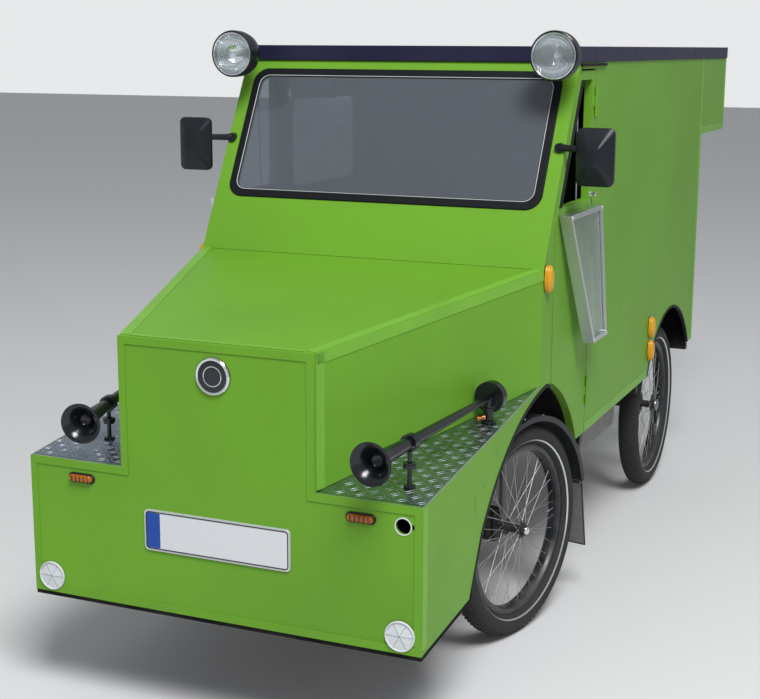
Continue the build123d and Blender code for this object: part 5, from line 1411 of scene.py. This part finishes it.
def padded_block(name, size, place, voxel, cap, material, body="root", replaced=()):
    """A pad from a block of a size in mm, swollen by cloth pressure."""
    work = bmesh.new()
    bmesh.ops.create_cube(work, size=1)
    bmesh.ops.scale(work, vec=[value * MM for value in size], verts=work.verts)
    bmesh.ops.bevel(work, geom=work.edges, offset=16 * MM, segments=3, affect="EDGES")
    mesh = bpy.data.meshes.new(name)
    work.to_mesh(mesh)
    work.free()
    pad = linked(name, mesh)
    remesh = pad.modifiers.new("voxels", "REMESH")
    remesh.mode, remesh.voxel_size = "VOXEL", voxel * MM
    plain_mesh(pad)
    start = [vertex.co.copy() for vertex in pad.data.vertices]
    cloth = pad.modifiers.new("cloth", "CLOTH")
    cloth.settings.use_pressure = True
    cloth.settings.uniform_pressure_force = 4
    cloth.settings.effector_weights.gravity = 0
    cloth.settings.quality = 4
    for step in range(1, CLOTH_FRAMES + 1):
        scene.frame_set(step)
    plain_mesh(pad)
    scene.frame_set(1)
    for vertex, before in zip(pad.data.vertices, start):
        move = vertex.co - before
        if move.length > cap * MM:
            vertex.co = before + move.normalized() * cap * MM
    pad.data.transform(place)
    smoother = pad.modifiers.new("smoother", "SMOOTH")
    smoother.iterations = 4
    plain_mesh(pad)
    shaded(pad.data, 80)
    settled(pad, body, material, replaced)
    return pad


SWELL_CAP, SEAT_VOXEL, BED_VOXEL = 6, 9, 14
seat_low, seat_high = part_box("seat_cushions")
lean_back = radians(-14)
padded_block("seat_pad", (448, 358, 58), Matrix.Translation(at(0, 1675, 770)), SEAT_VOXEL, SWELL_CAP,
             "seat_fabric", replaced=["seat_cushions"])
back_foot, back_middle = Matrix.Translation(at(0, 1860.5, 735.5)), Matrix.Translation((0, 0.035, 0.27))
back_place = back_foot @ Matrix.Rotation(lean_back, 4, "X") @ back_middle
padded_block("back_pad", (448, 58, 470), back_place, SEAT_VOXEL, SWELL_CAP, "seat_fabric")
bed_low, bed_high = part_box("mattress")
bed_size = (bed_high - bed_low) / MM
padded_block("mattress_pad", (bed_size.x - 12, bed_size.y - 12, bed_size.z - 14),
             Matrix.Translation((bed_low + bed_high) / 2), BED_VOXEL, SWELL_CAP, "mattress_fabric",
             replaced=["mattress"])
print("seat", round(seat_high.x - seat_low.x, 3), "m wide, bed", round(bed_size.y * MM, 3), "m long")

# %% [markdown]
# ## Mirror glasses
# A mirror is only a bright, flat plate in its shell. Each one is a thin rounded plaque that faces
# the rear, a hair inside the shell's rim.

# %% Mirror glasses
mirror_low, mirror_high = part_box("mirrors")
MIRROR_X, MIRROR_STATION, MIRROR_HEIGHT = 662, 1068, 1414
for side, name in ((1, "mirror_glass_left"), (-1, "mirror_glass_right")):
    face = facing(at(side * MIRROR_X, MIRROR_STATION, MIRROR_HEIGHT), BACK)
    glass = plaque(name, 100, 156, 14, [(0, -0.5), (0.6, 0.9)], face)
    settled(glass, "root", "chrome")
print("over the mirrors", round(mirror_high.x - mirror_low.x, 3), "m wide")

# %% Nodes left without a material
for name, node in frame["nodes"].items():
    if not node.hide_render and not node.data.materials:
        print("bare node", name)
